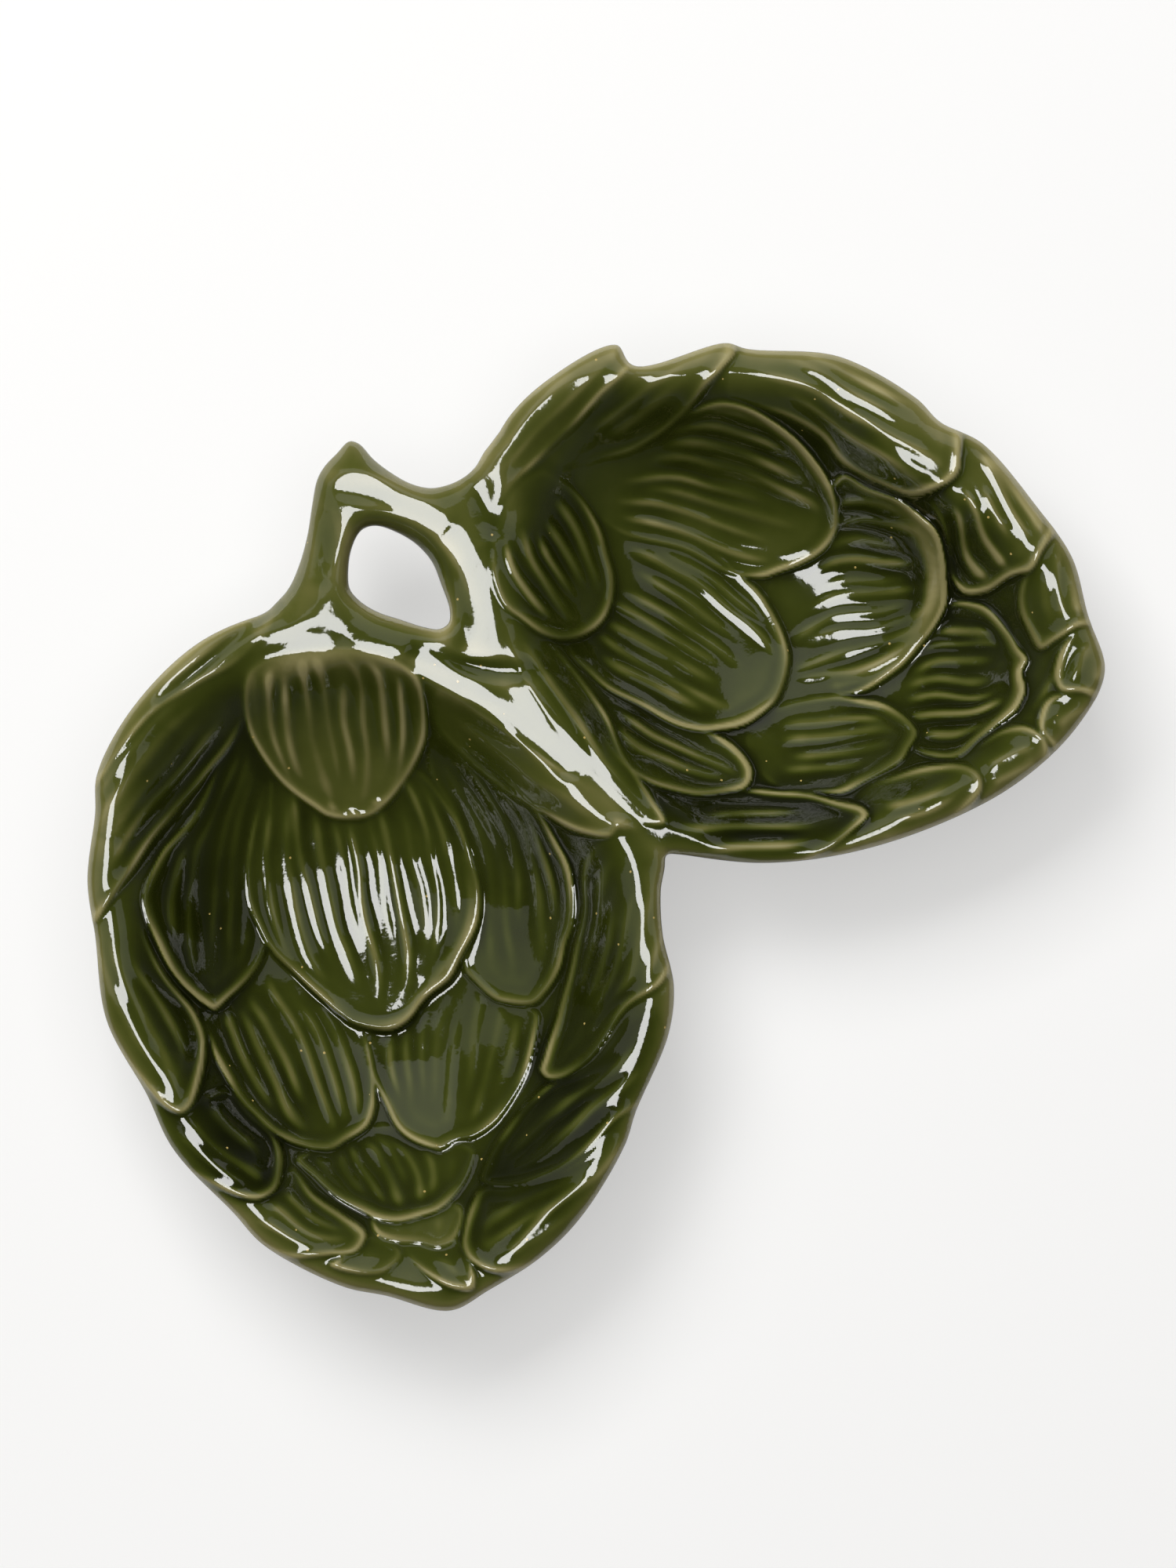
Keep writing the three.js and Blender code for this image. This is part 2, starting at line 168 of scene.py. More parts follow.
LEFT_BRACTS = [
    Bract((430, 808), (450, 1048), [
        (320, 848), (308, 892), (314, 928), (330, 964), (350, 992), (378, 1016), (402, 1032), (418, 1042),
        (442, 1048), (466, 1046), (484, 1036), (510, 1004), (530, 976), (544, 940), (546, 908),
        (542, 880), (530, 860), (490, 836), (430, 824), (370, 830),
    ], 3.0, 1.3, -0.21),
    Bract((445, 950), (488, 1314), [
        (334, 1000), (326, 1028), (316, 1072), (312, 1112), (314, 1144), (326, 1176), (346, 1212),
        (370, 1238), (402, 1268), (434, 1296), (456, 1311), (492, 1315), (522, 1304), (550, 1273),
        (578, 1248), (598, 1212), (614, 1176), (616, 1140), (606, 1100), (590, 1056), (566, 1016),
        (542, 988), (500, 960), (440, 950), (380, 965),
    ], 5.6, 1.0, 0.0),
    Bract((322, 920), (274, 1289), [
        (300, 930), (250, 1030), (205, 1090), (184, 1136), (186, 1168), (198, 1204), (214, 1236),
        (234, 1260), (264, 1284), (276, 1289), (298, 1273), (322, 1249), (338, 1224), (348, 1180),
        (342, 1100), (352, 1000), (330, 930),
    ], 2.4, 0.45, 0.1),
    Bract((553, 915), (655, 1283), [
        (550, 930), (600, 955), (650, 992), (700, 1050), (730, 1115), (733, 1180), (725, 1205),
        (716, 1236), (698, 1264), (680, 1281), (650, 1281), (630, 1276), (608, 1257), (590, 1233),
        (600, 1190), (605, 1150), (595, 1100), (575, 1040), (545, 985),
    ], 2.4, 0.6, 0.0),
    Bract((318, 850), (112, 1182), [
        (335, 830), (305, 935), (270, 985), (225, 1040), (190, 1086), (160, 1130), (140, 1156),
        (114, 1182), (80, 1170), (80, 1100), (90, 1030), (105, 985), (140, 945), (185, 905), (215, 880),
        (260, 850), (310, 815),
    ], 2.2, 0.6, 0.02),
    Bract((352, 778), (108, 1030), [
        (350, 800), (300, 846), (250, 876), (205, 906), (160, 952), (127, 1000), (112, 1030), (85, 1015),
        (95, 960), (120, 915), (165, 850), (220, 805), (280, 770), (345, 755),
    ], 2.4, 0.3),
    Bract((548, 888), (784, 1064), [
        (560, 880), (640, 925), (720, 980), (795, 1035), (782, 1066), (744, 1064), (690, 1040),
        (630, 1003), (580, 958), (552, 915),
    ], 1.3, 0.4, -0.17),
    Bract((800, 1070), (692, 1376), [
        (742, 1100), (741, 1160), (731, 1220), (711, 1284), (694, 1345), (688, 1366), (697, 1377),
        (717, 1376), (748, 1357), (773, 1325), (800, 1286), (845, 1255), (880, 1180), (880, 1100),
        (850, 1060), (800, 1058), (760, 1075),
    ], 2.3, 0.7, 0.06),
    Bract((822, 1320), (611, 1509), [
        (700, 1380), (660, 1418), (632, 1455), (614, 1490), (611, 1506), (628, 1514), (660, 1514),
        (704, 1498), (732, 1482), (760, 1458), (787, 1430), (830, 1400), (850, 1330), (830, 1285),
        (770, 1335), (735, 1365),
    ], 2.3, 0.7, 0.2),
    Bract((812, 1415), (592, 1602), [
        (614, 1512), (600, 1535), (592, 1560), (589, 1585), (599, 1606), (640, 1625), (700, 1610),
        (765, 1555), (815, 1480), (830, 1415), (800, 1395), (770, 1445), (730, 1480), (690, 1498),
        (650, 1512),
    ], 2.2, 0.5, 0.12),
    Bract((575, 1235), (567, 1465), [
        (464, 1320), (466, 1352), (476, 1384), (488, 1408), (504, 1432), (524, 1450), (548, 1462),
        (564, 1465), (580, 1457), (600, 1454), (616, 1445), (640, 1424), (660, 1396), (676, 1360),
        (686, 1320), (687, 1290), (650, 1270), (600, 1235), (540, 1260), (490, 1290),
    ], 2.6, 0.55),
    Bract((360, 1225), (414, 1469), [
        (256, 1300), (264, 1328), (276, 1356), (296, 1392), (324, 1424), (352, 1448), (380, 1462),
        (404, 1468), (424, 1467), (444, 1455), (464, 1443), (475, 1430), (480, 1390), (470, 1320),
        (440, 1280), (390, 1245), (345, 1210), (300, 1262), (272, 1285),
    ], 2.3, 0.8),
    Bract((150, 1155), (234, 1423), [
        (175, 1150), (192, 1200), (215, 1245), (252, 1290), (265, 1335), (257, 1385), (247, 1413),
        (233, 1423), (212, 1415), (188, 1392), (150, 1345), (115, 1290), (95, 1220), (110, 1175),
    ], 2.0, 0.5, 0.08),
    Bract((225, 1400), (342, 1529), [
        (245, 1405), (290, 1388), (325, 1420), (355, 1448), (363, 1480), (354, 1516), (332, 1530),
        (300, 1526), (262, 1510), (215, 1480), (185, 1440), (200, 1410),
    ], 2.1, 0.6, 0.28),
    Bract((322, 1515), (460, 1594), [
        (330, 1522), (352, 1510), (372, 1485), (402, 1518), (440, 1546), (468, 1572), (455, 1597),
        (416, 1604), (365, 1606), (315, 1580), (285, 1545),
    ], 2.0, 0.6),
    Bract((490, 1415), (502, 1559), [
        (376, 1478), (400, 1501), (428, 1525), (456, 1543), (480, 1555), (508, 1558), (540, 1550),
        (564, 1542), (585, 1521), (601, 1493), (605, 1466), (560, 1450), (490, 1430), (420, 1455),
    ], 2.4, 0.8),
    Bract((530, 1525), (530, 1590), [
        (472, 1545), (477, 1572), (505, 1584), (535, 1584), (560, 1589), (583, 1579), (592, 1540),
        (530, 1520),
    ], 1.8, 0.3, -0.25),
    Bract((480, 1565), (462, 1627), [
        (432, 1602), (466, 1572), (510, 1590), (512, 1604), (490, 1625), (456, 1625), (420, 1614),
    ], 1.5, 0.3),
    Bract((548, 1570), (586, 1645), [
        (516, 1590), (545, 1580), (586, 1578), (606, 1612), (604, 1644), (575, 1644), (545, 1627),
        (520, 1605),
    ], 1.5, 0.3),
]

RIGHT_BRACTS = [
    Bract((645, 655), (768, 803), [
        (693, 598), (715, 609), (736, 627), (754, 649), (769, 675), (778, 704), (784, 732), (784, 761),
        (775, 787), (758, 805), (736, 816), (715, 818), (690, 809), (664, 791), (643, 773), (626, 729),
        (628, 690), (640, 650), (662, 612),
    ], 2.8, 1.3),
    Bract((735, 745), (988, 890), [
        (776, 664), (805, 664), (834, 671), (866, 678), (895, 689), (920, 707), (945, 729), (967, 750),
        (985, 776), (999, 804), (1007, 833), (1005, 862), (993, 895), (970, 913), (942, 928), (913, 933),
        (884, 930), (848, 919), (812, 901), (776, 881), (754, 862), (725, 830), (735, 760), (750, 690),
    ], 3.0, 1.2),
    Bract((755, 605), (1066, 678), [
        (850, 535), (909, 515), (934, 515), (967, 523), (996, 541), (1021, 562), (1040, 584), (1054, 605),
        (1065, 632), (1070, 657), (1065, 683), (1047, 708), (1021, 723), (992, 732), (974, 737),
        (930, 735), (870, 705), (790, 680), (745, 640), (735, 600), (800, 565),
    ], 2.8, 1.1, -0.08),
    Bract((985, 765), (1209, 748), [
        (1074, 606), (1109, 622), (1149, 637), (1175, 659), (1198, 685), (1207, 713), (1209, 744),
        (1207, 770), (1194, 802), (1172, 833), (1145, 859), (1110, 879), (1070, 890), (1026, 894),
        (990, 880), (970, 800), (985, 730), (1030, 660),
    ], 3.0, 0.9),
    Bract((705, 575), (940, 446), [
        (700, 585), (736, 600), (776, 589), (812, 575), (848, 553), (877, 528), (902, 496), (922, 473),
        (940, 444), (920, 415), (880, 425), (835, 440), (800, 470), (760, 508), (718, 548),
    ], 2.2, 0.7, -0.06),
    Bract((622, 628), (803, 440), [
        (600, 600), (630, 540), (675, 480), (725, 440), (775, 412), (805, 420), (815, 455), (797, 480),
        (767, 507), (732, 547), (697, 582), (662, 612), (632, 645),
    ], 2.0, 0.3, -0.06),
    Bract((922, 480), (1216, 616), [
        (940, 450), (985, 425), (1040, 428), (1095, 445), (1150, 468), (1200, 500), (1226, 545),
        (1228, 580), (1224, 605), (1200, 622), (1165, 636), (1120, 622), (1076, 598), (1045, 560),
        (1005, 535), (955, 518), (925, 505),
    ], 2.5, 0.9, -0.07),
    Bract((1200, 605), (1314, 730), [
        (1212, 550), (1255, 540), (1305, 575), (1340, 625), (1350, 670), (1330, 706), (1314, 729),
        (1290, 737), (1262, 757), (1228, 760), (1210, 740), (1203, 700), (1190, 660), (1180, 630),
    ], 2.4, 1.1, -0.06),
    Bract((1330, 690), (1344, 824), [
        (1338, 680), (1390, 710), (1410, 760), (1412, 797), (1375, 802), (1346, 817), (1325, 828),
        (1309, 802), (1298, 762), (1303, 735), (1325, 708),
    ], 1.9, 0.6),
    Bract((1398, 800), (1352, 884), [
        (1385, 796), (1425, 810), (1435, 860), (1415, 895), (1380, 886), (1350, 882), (1344, 850),
        (1354, 818),
    ], 1.8, 0.5),
    Bract((1140, 855), (1309, 868), [
        (1215, 766), (1254, 770), (1272, 783), (1286, 801), (1298, 823), (1310, 840), (1304, 858),
        (1309, 880), (1299, 903), (1273, 925), (1247, 947), (1225, 965), (1200, 968), (1160, 955),
        (1140, 910), (1120, 870), (1165, 815), (1195, 780),
    ], 2.7, 1.3, 0.04),
    Bract((955, 955), (1171, 938), [
        (955, 920), (1010, 895), (1060, 885), (1100, 888), (1122, 893), (1144, 904), (1163, 920),
        (1171, 934), (1161, 955), (1150, 972), (1125, 988), (1100, 1001), (1075, 1013), (1040, 1016),
        (1000, 1010), (968, 985), (950, 950),
    ], 2.4, 0.8),
    Bract((755, 885), (962, 990), [
        (760, 865), (810, 890), (860, 912), (910, 930), (943, 953), (962, 982), (956, 1003), (925, 1013),
        (890, 1016), (840, 1006), (803, 986), (768, 945), (745, 900),
    ], 2.2, 0.9),
    Bract((655, 795), (842, 1052), [
        (648, 790), (690, 805), (730, 845), (768, 900), (805, 972), (835, 1018), (850, 1050), (820, 1052),
        (778, 1015), (728, 965), (678, 890), (650, 830),
    ], 0.9, 0.9),
    Bract((845, 1040), (1105, 1036), [
        (840, 1012), (890, 1010), (950, 1003), (1010, 1008), (1060, 1017), (1099, 1029), (1106, 1041),
        (1085, 1062), (1050, 1090), (1000, 1110), (940, 1115), (880, 1110), (835, 1090), (822, 1045),
    ], 2.0, 0.9, 0.2),
    Bract((1095, 1035), (1252, 1000), [
        (1100, 1005), (1140, 988), (1185, 974), (1225, 973), (1247, 985), (1253, 1008), (1225, 1045),
        (1170, 1075), (1110, 1085), (1085, 1050),
    ], 2.0, 0.8),
    Bract((1225, 975), (1338, 950), [
        (1212, 968), (1245, 948), (1272, 930), (1300, 924), (1321, 931), (1339, 950), (1340, 985),
        (1295, 1020), (1255, 1035), (1240, 990),
    ], 2.0, 0.6),
    Bract((1395, 885), (1330, 945), [
        (1340, 888), (1386, 880), (1415, 895), (1405, 930), (1362, 965), (1334, 946), (1322, 930),
        (1326, 904),
    ], 1.7, 0.5),
]

LEFT_BOWL = {
    "centre": (-58, -36),
    "lean": (0.0, -0.08),
    "turn": -79,
    "rim": [
        (-85.5, 57.5), (-74, 59.5), (-62, 56.5), (-42, 51.5), (-25, 43), (0, 16), (13, 3), (18.5, -8),
        (17.5, -17), (18, -28), (21, -42), (19.5, -55), (11, -75), (8, -84), (-3.5, -103), (-14, -113.5),
        (-28, -122.5), (-38.5, -128), (-55.5, -124), (-67, -121.5), (-88, -110.5), (-96, -102),
        (-112, -85), (-119, -70.5), (-129.5, -51), (-132.5, -29), (-134.5, -14), (-132.5, 3.5),
        (-132, 14), (-122, 32.5), (-105, 49),
    ],
    "bracts": LEFT_BRACTS,
}

RIGHT_BOWL = {
    "centre": (51.5, 57.5),
    "lean": (-0.02, -0.09),
    "turn": -12,
    "rim": [
        (-25, 106), (-14, 117.5), (5.5, 127.5), (10, 122), (34, 128), (40, 126.5), (64, 124.5),
        (84.5, 113.5), (91, 107), (102, 101.5), (117, 84), (126, 71), (130, 56), (134.5, 41), (127, 26),
        (111, 11), (90, 0), (66, -7.5), (44, -10), (24, -8), (11, -5.5), (-3.5, 8.5), (-18, 24),
        (-29, 41), (-33, 60), (-33, 77), (-30, 93),
    ],
    "bracts": RIGHT_BRACTS,
}
BOWLS = (LEFT_BOWL, RIGHT_BOWL)

# The two bowls meet along this line in plan, from the stem to the outer notch.
SEAM = np.array([(-52, 66), (19, -9.5)], float)

# Outline of the stem, which runs on under the bowls' rims, and of its finger hole
STEM = [
    (-93, 50), (-85.6, 58.2), (-81.5, 62.8), (-78.6, 69), (-76.3, 77), (-75, 85), (-73.7, 91.5),
    (-71.8, 95), (-68.5, 98.6), (-65.2, 101.9), (-62.6, 101.2), (-58.6, 96.9), (-53.7, 93.2), (-49, 90.6),
    (-43.8, 89.4), (-39.2, 90.2), (-35.3, 92), (-32, 94.8), (-29, 99.6), (-24, 104), (-12, 92), (-16, 62),
    (-18, 38), (-42, 36), (-72, 42),
]
FINGER_HOLE = [
    (-65.4, 66), (-64.6, 73), (-61.9, 78.2), (-58.2, 79.4), (-52.6, 77.7), (-47.5, 74.6), (-43.4, 70),
    (-40.9, 63.9), (-38.7, 57.5), (-38.9, 53.8), (-41.3, 52.2), (-45.4, 52.7), (-51.6, 54.7), (-57.8, 56.8),
    (-62.3, 59.6), (-64.9, 62.7),
]

# Folds and creases: points along each, its rise or fall, and its half width
Fold = namedtuple("Fold", "line rise spread")
FOLD_STEP = 0.8
FOLD_END = 0.35

FOLDS = [
    Fold([(530, 826), (590, 847), (645, 855), (690, 854)], -1.5, 2.7),
    Fold([(535, 874), (600, 894), (645, 916), (690, 951)], 1.3, 3.2),
    Fold([(425, 606), (500, 617), (565, 652)], 1.1, 3.2),
    Fold([(330, 868), (395, 846), (470, 840), (540, 856), (585, 880)], 2.4, 5.0),
    Fold([(396, 640), (372, 700), (346, 760), (318, 800)], -3.4, 8.0),
    Fold([(606, 612), (622, 650), (632, 690)], -1.5, 4.5),
    Fold([(425, 622), (495, 645), (550, 672), (580, 706)], 0.5, 3.6),
    Fold([(462, 668), (490, 668), (540, 694), (575, 745), (592, 790), (586, 818)], -1.5, 3.2),
    Fold([(404, 640), (416, 690), (410, 735)], -1.0, 3.0),
    Fold([
        (1070, 622), (1138, 650), (1180, 696), (1190, 745), (1176, 794), (1132, 842), (1070, 872),
    ], 1.8, 3.0),
    Fold([(594, 1100), (602, 1150), (597, 1182), (582, 1214), (556, 1248)], 1.0, 2.4),
    Fold([(210, 930), (168, 990), (144, 1070)], 1.5, 6.0),
    Fold([(352, 770), (285, 826), (205, 892)], -1.3, 1.5),
    Fold([(330, 758), (262, 806), (190, 868)], 0.5, 1.8),
    Fold([(745, 1505), (700, 1545), (655, 1592)], 0.8, 1.3),
    Fold([(1362, 820), (1345, 860), (1323, 900)], 0.7, 1.2),
    Fold([(780, 1048), (806, 1054)], 1.1, 1.7),
    Fold([(420, 1024), (430, 1036)], 0.5, 1.1),
    Fold([(446, 1034), (458, 1042)], 0.6, 1.0),
    Fold([(474, 1028), (486, 1020)], 0.5, 1.1),
    Fold([(448, 1298), (488, 1305), (528, 1293)], 0.5, 1.2),
    Fold([(1290, 800), (1304, 830)], 0.6, 1.2),
    Fold([(1300, 850), (1302, 886)], 0.6, 1.3),
]

# Flat runs of the ridge and the stem: points along each, its height and its half width
Flat = namedtuple("Flat", "line level spread")
FLAT_STEP = 0.2
FLAT_TILT = (0.09, 0.05)
FLAT_BLEND = 0.5

FLATS = [
    Flat([(540, 846), (600, 876), (640, 900), (690, 941), (726, 972)], 44.5, 4.6),
    Flat([(440, 616), (500, 634), (550, 674)], 44.4, 4.3),
    Flat([(580, 690), (597, 750), (610, 830)], 44.4, 4.2),
]

# A bract's lift off the wall, its rounded edge, the bead along it and the hollow inside the bead
BASE_LIFT = 0.1
LIFT_SHARE = 0.62
LIFT_CURVE = 1.4
EDGE_ROUND = 1.5
BEAD_RISE = 0.42
BEAD_IN = 0.95
BEAD_SPREAD = 0.7
HOLLOW = 0.15
HOLLOW_IN = 3.8
HOLLOW_SPREAD = 1.7
FREE_RUN = (0.05, 0.4)
STEEPEST = 1.5

# A bract's breadth is taken at stations along its middle line.
STATIONS = 21
STATION_REACH = 0.09
STATION_SOFTENING = np.array([1, 2, 3, 2, 1]) / 9
LEAST_HALF = 0.45

# Ribs, in millimetres or shares of the bract, with the range of each chance
RIB_PITCH = 4.9
RIB_RISE = 0.62
RIB_BREADTH = 1.4
RIB_EDGE_RUN = (1.5, 5.5)
RIB_SHIFT = 0.35
RIB_DRIFT = 0.1
RIB_WAVE = 0.018
RIB_WAVE_COUNTS = (3, 7)
RIB_WAVE_PHASES = (0, 6.28)
RIB_STARTS = (0.02, 0.22)
RIB_STOPS = (0.75, 0.98)
RIB_BREADTHS = (0.8, 1.25)
RIB_HEIGHTS = (0.55, 1.15)
RIB_RUN_IN = 0.18
RIB_RUN_OUT = 0.22

# Bracts are lower at the rim, fade out at the seam and are softened by the glaze.
BRACT_MARGIN = 2
RIM_RELIEF = 0.65
RIM_RELIEF_RUN = (0, -4)
SEAM_OVERLAP = 1.5
SEAM_RUN = (0, 8)
RELIEF_SOFTNESS = 0.4
# The bracts' painted shading is blurred over this spread.
PAINTED_SHADING_SOFTNESS = 1.2

# Hand-made unevenness: how far the bracts' lines wander, and the waves of the whole skin
WANDER = 0.22
WANDER_SPREAD = 4.0
WAVES = 0.09
WAVES_SPREAD = 3.2

# Seeds of the noises
WANDER_SEED_X = 101
WANDER_SEED_Y = 102
WAVES_SEED = 103
PATCHY_SEED = 104
SWELL_SEED = 105

# Depth of the glaze: it thins over crests and pools in hollows, fine ones and broad ones. Painted light over
# high parts and painted shade on steep walls are added to it.
Pooling = namedtuple("Pooling", "spread most thins pools")
POOLINGS = [Pooling(0.8, 0.3, 1.0, 0.3), Pooling(2.2, 0.4, 0.85, 0.3)]
PLAIN_DEPTH = 0.66
PATCHY = 0.4
PATCHY_SPREAD = 5
PATCHY_RANGE = (0.2, 2)
RIM_THIN = 0.58
RIM_THIN_IN = 2.2
RIM_PALE = 0.06
RIM_PALE_IN = 9
# Painted light: the glaze is drawn paler over the high parts of the dish, where more light falls than in the
# wells.
HIGH_PAINTED_LIGHT = 0.08
HIGH_RUN = (28, 44)
# Painted shade: the glaze is drawn darker on steep walls, which face away from the light and lie in the
# bowls' shade.
WALL_PAINTED_SHADE = 0.12
WALL_SLOPES = (0.35, 1.1)
STEM_PALE = 0.07
STEM_RIM_LESS = 0.45
UNDER_DEPTH = 0.62
UNDER_THIN = 0.12
UNDER_THIN_IN = 3



# Plan

def smooth_min(a, b, reach):
    """The lower of two values, blended where they are within reach of each other."""
    mix = np.clip(0.5 + 0.5 * (b - a) / reach, 0, 1)
    return b + (a - b) * mix - reach * mix * (1 - mix)


def smooth_step(low, high, value):
    """0 at low and 1 at high, eased between; low may be the greater."""
    t = np.clip((value - low) / (high - low), 0, 1)
    return t * t * (3 - 2 * t)


def curve_through(points, closed, per_span):
    """Points along a centripetal curve through the given ones."""
    p = np.asarray(points, float)
    if closed:
        before, after, beyond = np.roll(p, 1, 0), np.roll(p, -1, 0), np.roll(p, -2, 0)
    else:
        padded = np.vstack([2 * p[0] - p[1], p, 2 * p[-1] - p[-2]])
        before, p, after, beyond = padded[:-3], padded[1:-2], padded[2:-1], padded[3:]
    d0 = np.linalg.norm(p - before, axis=1, keepdims=True) ** 0.5
    d1 = np.linalg.norm(after - p, axis=1, keepdims=True) ** 0.5
    d2 = np.linalg.norm(beyond - after, axis=1, keepdims=True) ** 0.5
    leave = ((p - before) / d0 - (after - before) / (d0 + d1) + (after - p) / d1) * d1
    arrive = ((after - p) / d1 - (beyond - p) / (d1 + d2) + (beyond - after) / d2) * d1
    t = (np.arange(per_span) / per_span)[None, :, None]
    path = (
        p[:, None] * (2 * t**3 - 3 * t**2 + 1)
        + leave[:, None] * (t**3 - 2 * t**2 + t)
        + after[:, None] * (3 * t**2 - 2 * t**3)
        + arrive[:, None] * (t**3 - t**2)
    ).reshape(-1, p.shape[1])
    return path if closed else np.vstack([path, after[-1]])


def respaced(path, spacing, closed):
    """The same line with evenly spaced points."""
    line = np.vstack([path, path[:1]]) if closed else path
    run = np.concatenate([[0], np.cumsum(np.hypot(*np.diff(line, axis=0).T))])
    count = max(2, int(round(run[-1] / spacing)))
    stops = np.linspace(0, run[-1], count + 1)
    if closed:
        stops = stops[:-1]
    return np.c_[np.interp(stops, run, line[:, 0]), np.interp(stops, run, line[:, 1])]


def prepare_bowl(bowl):
    """The rim's outline as an even line, and its reach from the bowl's centre by direction."""
    outline = respaced(curve_through(bowl["rim"], True, RIM_SPAN), OUTLINE_STEP, True)
    offset = outline - bowl["centre"]
    angles = np.arctan2(offset[:, 1], offset[:, 0])
    order = np.argsort(angles)
    bowl["outline"] = outline
    bowl["angles"] = angles[order]
    bowl["reaches"] = np.hypot(offset[:, 0], offset[:, 1])[order]
    bowl["order"] = order
    even = np.radians(np.arange(-180, 180))
    reach = np.interp(even, bowl["angles"], bowl["reaches"], period=2 * math.pi)
    shifts = np.arange(-WELL_SOFT_REACH, WELL_SOFT_REACH + 1)
    weight = np.exp(-0.5 * (shifts / WELL_SOFTNESS) ** 2)
    turned = [np.roll(reach, k) * w for k, w in zip(shifts, weight)]
    bowl["even"] = even
    bowl["soft_reaches"] = np.sum(turned, axis=0) / weight.sum()


def around(bowl, x, y):
    """Radius and rim reach from a bowl's centre, for points in plan."""
    dx = x - bowl["centre"][0]
    dy = y - bowl["centre"][1]
    reach = np.interp(np.arctan2(dy, dx), bowl["angles"], bowl["reaches"], period=2 * math.pi)
    return np.hypot(dx, dy), reach


def rim_edge(bowl, x, y):
    """Signed distance to a bowl's rim in plan, negative inside."""
    line = bowl["outline"]
    angle = np.arctan2(y - bowl["centre"][1], x - bowl["centre"][0])
    slot = np.clip(np.searchsorted(bowl["angles"], angle), 0, len(line) - 1)
    abreast = bowl["order"][slot]
    nearest = np.full(np.shape(x), FAR_SQUARED)
    for shift in range(-RIM_SEARCH, RIM_SEARCH, 2):
        a = line[(abreast + shift) % len(line)]
        run = line[(abreast + shift + 2) % len(line)] - a
        px = x - a[..., 0]
        py = y - a[..., 1]
        t = np.clip((px * run[..., 0] + py * run[..., 1]) / (run**2).sum(-1), 0, 1)
        nearest = np.minimum(nearest, (px - t * run[..., 0]) ** 2 + (py - t * run[..., 1]) ** 2)
    radius, reach = around(bowl, x, y)
    return np.where(radius < reach, -1, 1) * np.sqrt(nearest) + OUTLINE_INSET


def bowls_edge(x, y):
    """Signed distance to the nearer of the two rims, negative inside a bowl."""
    return np.minimum(rim_edge(LEFT_BOWL, x, y), rim_edge(RIGHT_BOWL, x, y))


def loop_edge(line, x, y):
    """Signed distance to a closed line, negative inside."""
    nearest = np.full(x.shape, FAR_SQUARED)
    inside = np.zeros(x.shape, bool)
    for (ax, ay), (bx, by) in zip(line, np.roll(line, -1, 0)):
        run_x = bx - ax
        run_y = by - ay
        t = np.clip(((x - ax) * run_x + (y - ay) * run_y) / (run_x**2 + run_y**2), 0, 1)
        nearest = np.minimum(nearest, (x - ax - t * run_x) ** 2 + (y - ay - t * run_y) ** 2)
        if ay != by:
            inside ^= ((ay > y) != (by > y)) & (x < ax + (y - ay) / run_y * run_x)
    return np.where(inside, -1, 1) * np.sqrt(nearest)


def past_corner(corner, x, y):
    return (x < corner[0]) & (y > corner[1])


def stem_part_edge(points, x, y):
    """Signed distance to a closed curve by the stem, and a large value far from it."""
    near = past_corner(STEM_CORNER, x, y)
    edge = np.full(np.shape(x), STEM_FAR)
    edge[near] = loop_edge(curve_through(points, True, STEM_SPAN), x[near], y[near])
    return edge


def outline_edge(x, y):
    """Signed distance to the whole dish's outline in plan, negative inside."""
    bowls = smooth_min(rim_edge(LEFT_BOWL, x, y), rim_edge(RIGHT_BOWL, x, y), NOTCH_BLEND)
    dish = smooth_min(bowls, stem_part_edge(STEM, x, y), STEM_BLEND)
    return np.maximum(dish, -stem_part_edge(FINGER_HOLE, x, y))


def seam_side(x, y):
    """Distance from the seam, positive on the right bowl's side."""
    run = SEAM[1] - SEAM[0]
    return ((y - SEAM[0, 1]) * run[0] - (x - SEAM[0, 0]) * run[1]) / np.hypot(*run)


def piece_at(x, y):
    """0 for the left bowl, 1 for the right bowl, 2 for the stem handle."""
    right = seam_side(x, y) > 0
    piece = np.where(right, 1, 0)
    near = past_corner(STEM_PIECE_CORNER, x, y)
    left_edge = rim_edge(LEFT_BOWL, x[near], y[near])
    right_edge = rim_edge(RIGHT_BOWL, x[near], y[near])
    edge = np.where(right[near], right_edge, left_edge)
    piece[near] = np.where(edge >= 0, 2, piece[near])
    return piece


def piece_of(spot):
    return int(piece_at(spot[:1], spot[1:])[0])


# Heights

def well_height(bowl, x, y):
    dx = x - bowl["centre"][0]
    dy = y - bowl["centre"][1]
    reach = np.interp(np.arctan2(dy, dx), bowl["even"], bowl["soft_reaches"], period=2 * math.pi)
    width = RIM_WIDTH + RIDGE_EXTRA * np.exp(-((seam_side(x, y) / RIDGE_SPREAD) ** 2))
    for change in RIM_CHANGES:
        away = (x - change.x) ** 2 + (y - change.y) ** 2
        width = width + change.extra * np.exp(-away / change.spread**2)
    return FLOOR + (WELL_TOP - FLOOR) * (np.hypot(dx, dy) / (reach - width)) ** WELL_ROUNDNESS


def plain_top(x, y):
    """Upper skin without bracts and before its edge is rolled."""
    rim = np.full(np.shape(x), RIM_HEIGHT)
    for bowl in BOWLS:
        rim = smooth_min(rim, well_height(bowl, x, y), RIM_BLEND)
    return rim


def edge_radius(x, y):
    stem = smooth_step(*STEM_ROLL_RUN, stem_part_edge(STEM, x, y))
    return RIM_ROLL + (STEM_ROLL - RIM_ROLL) * stem


def edge_roll(inside, radius):
    """Drop of the upper skin near the outline."""
    t = np.clip(1 - inside / radius, 0, 1)
    return radius * (1 - np.sqrt(1 - t * t)) + np.clip(-inside, 0, None)


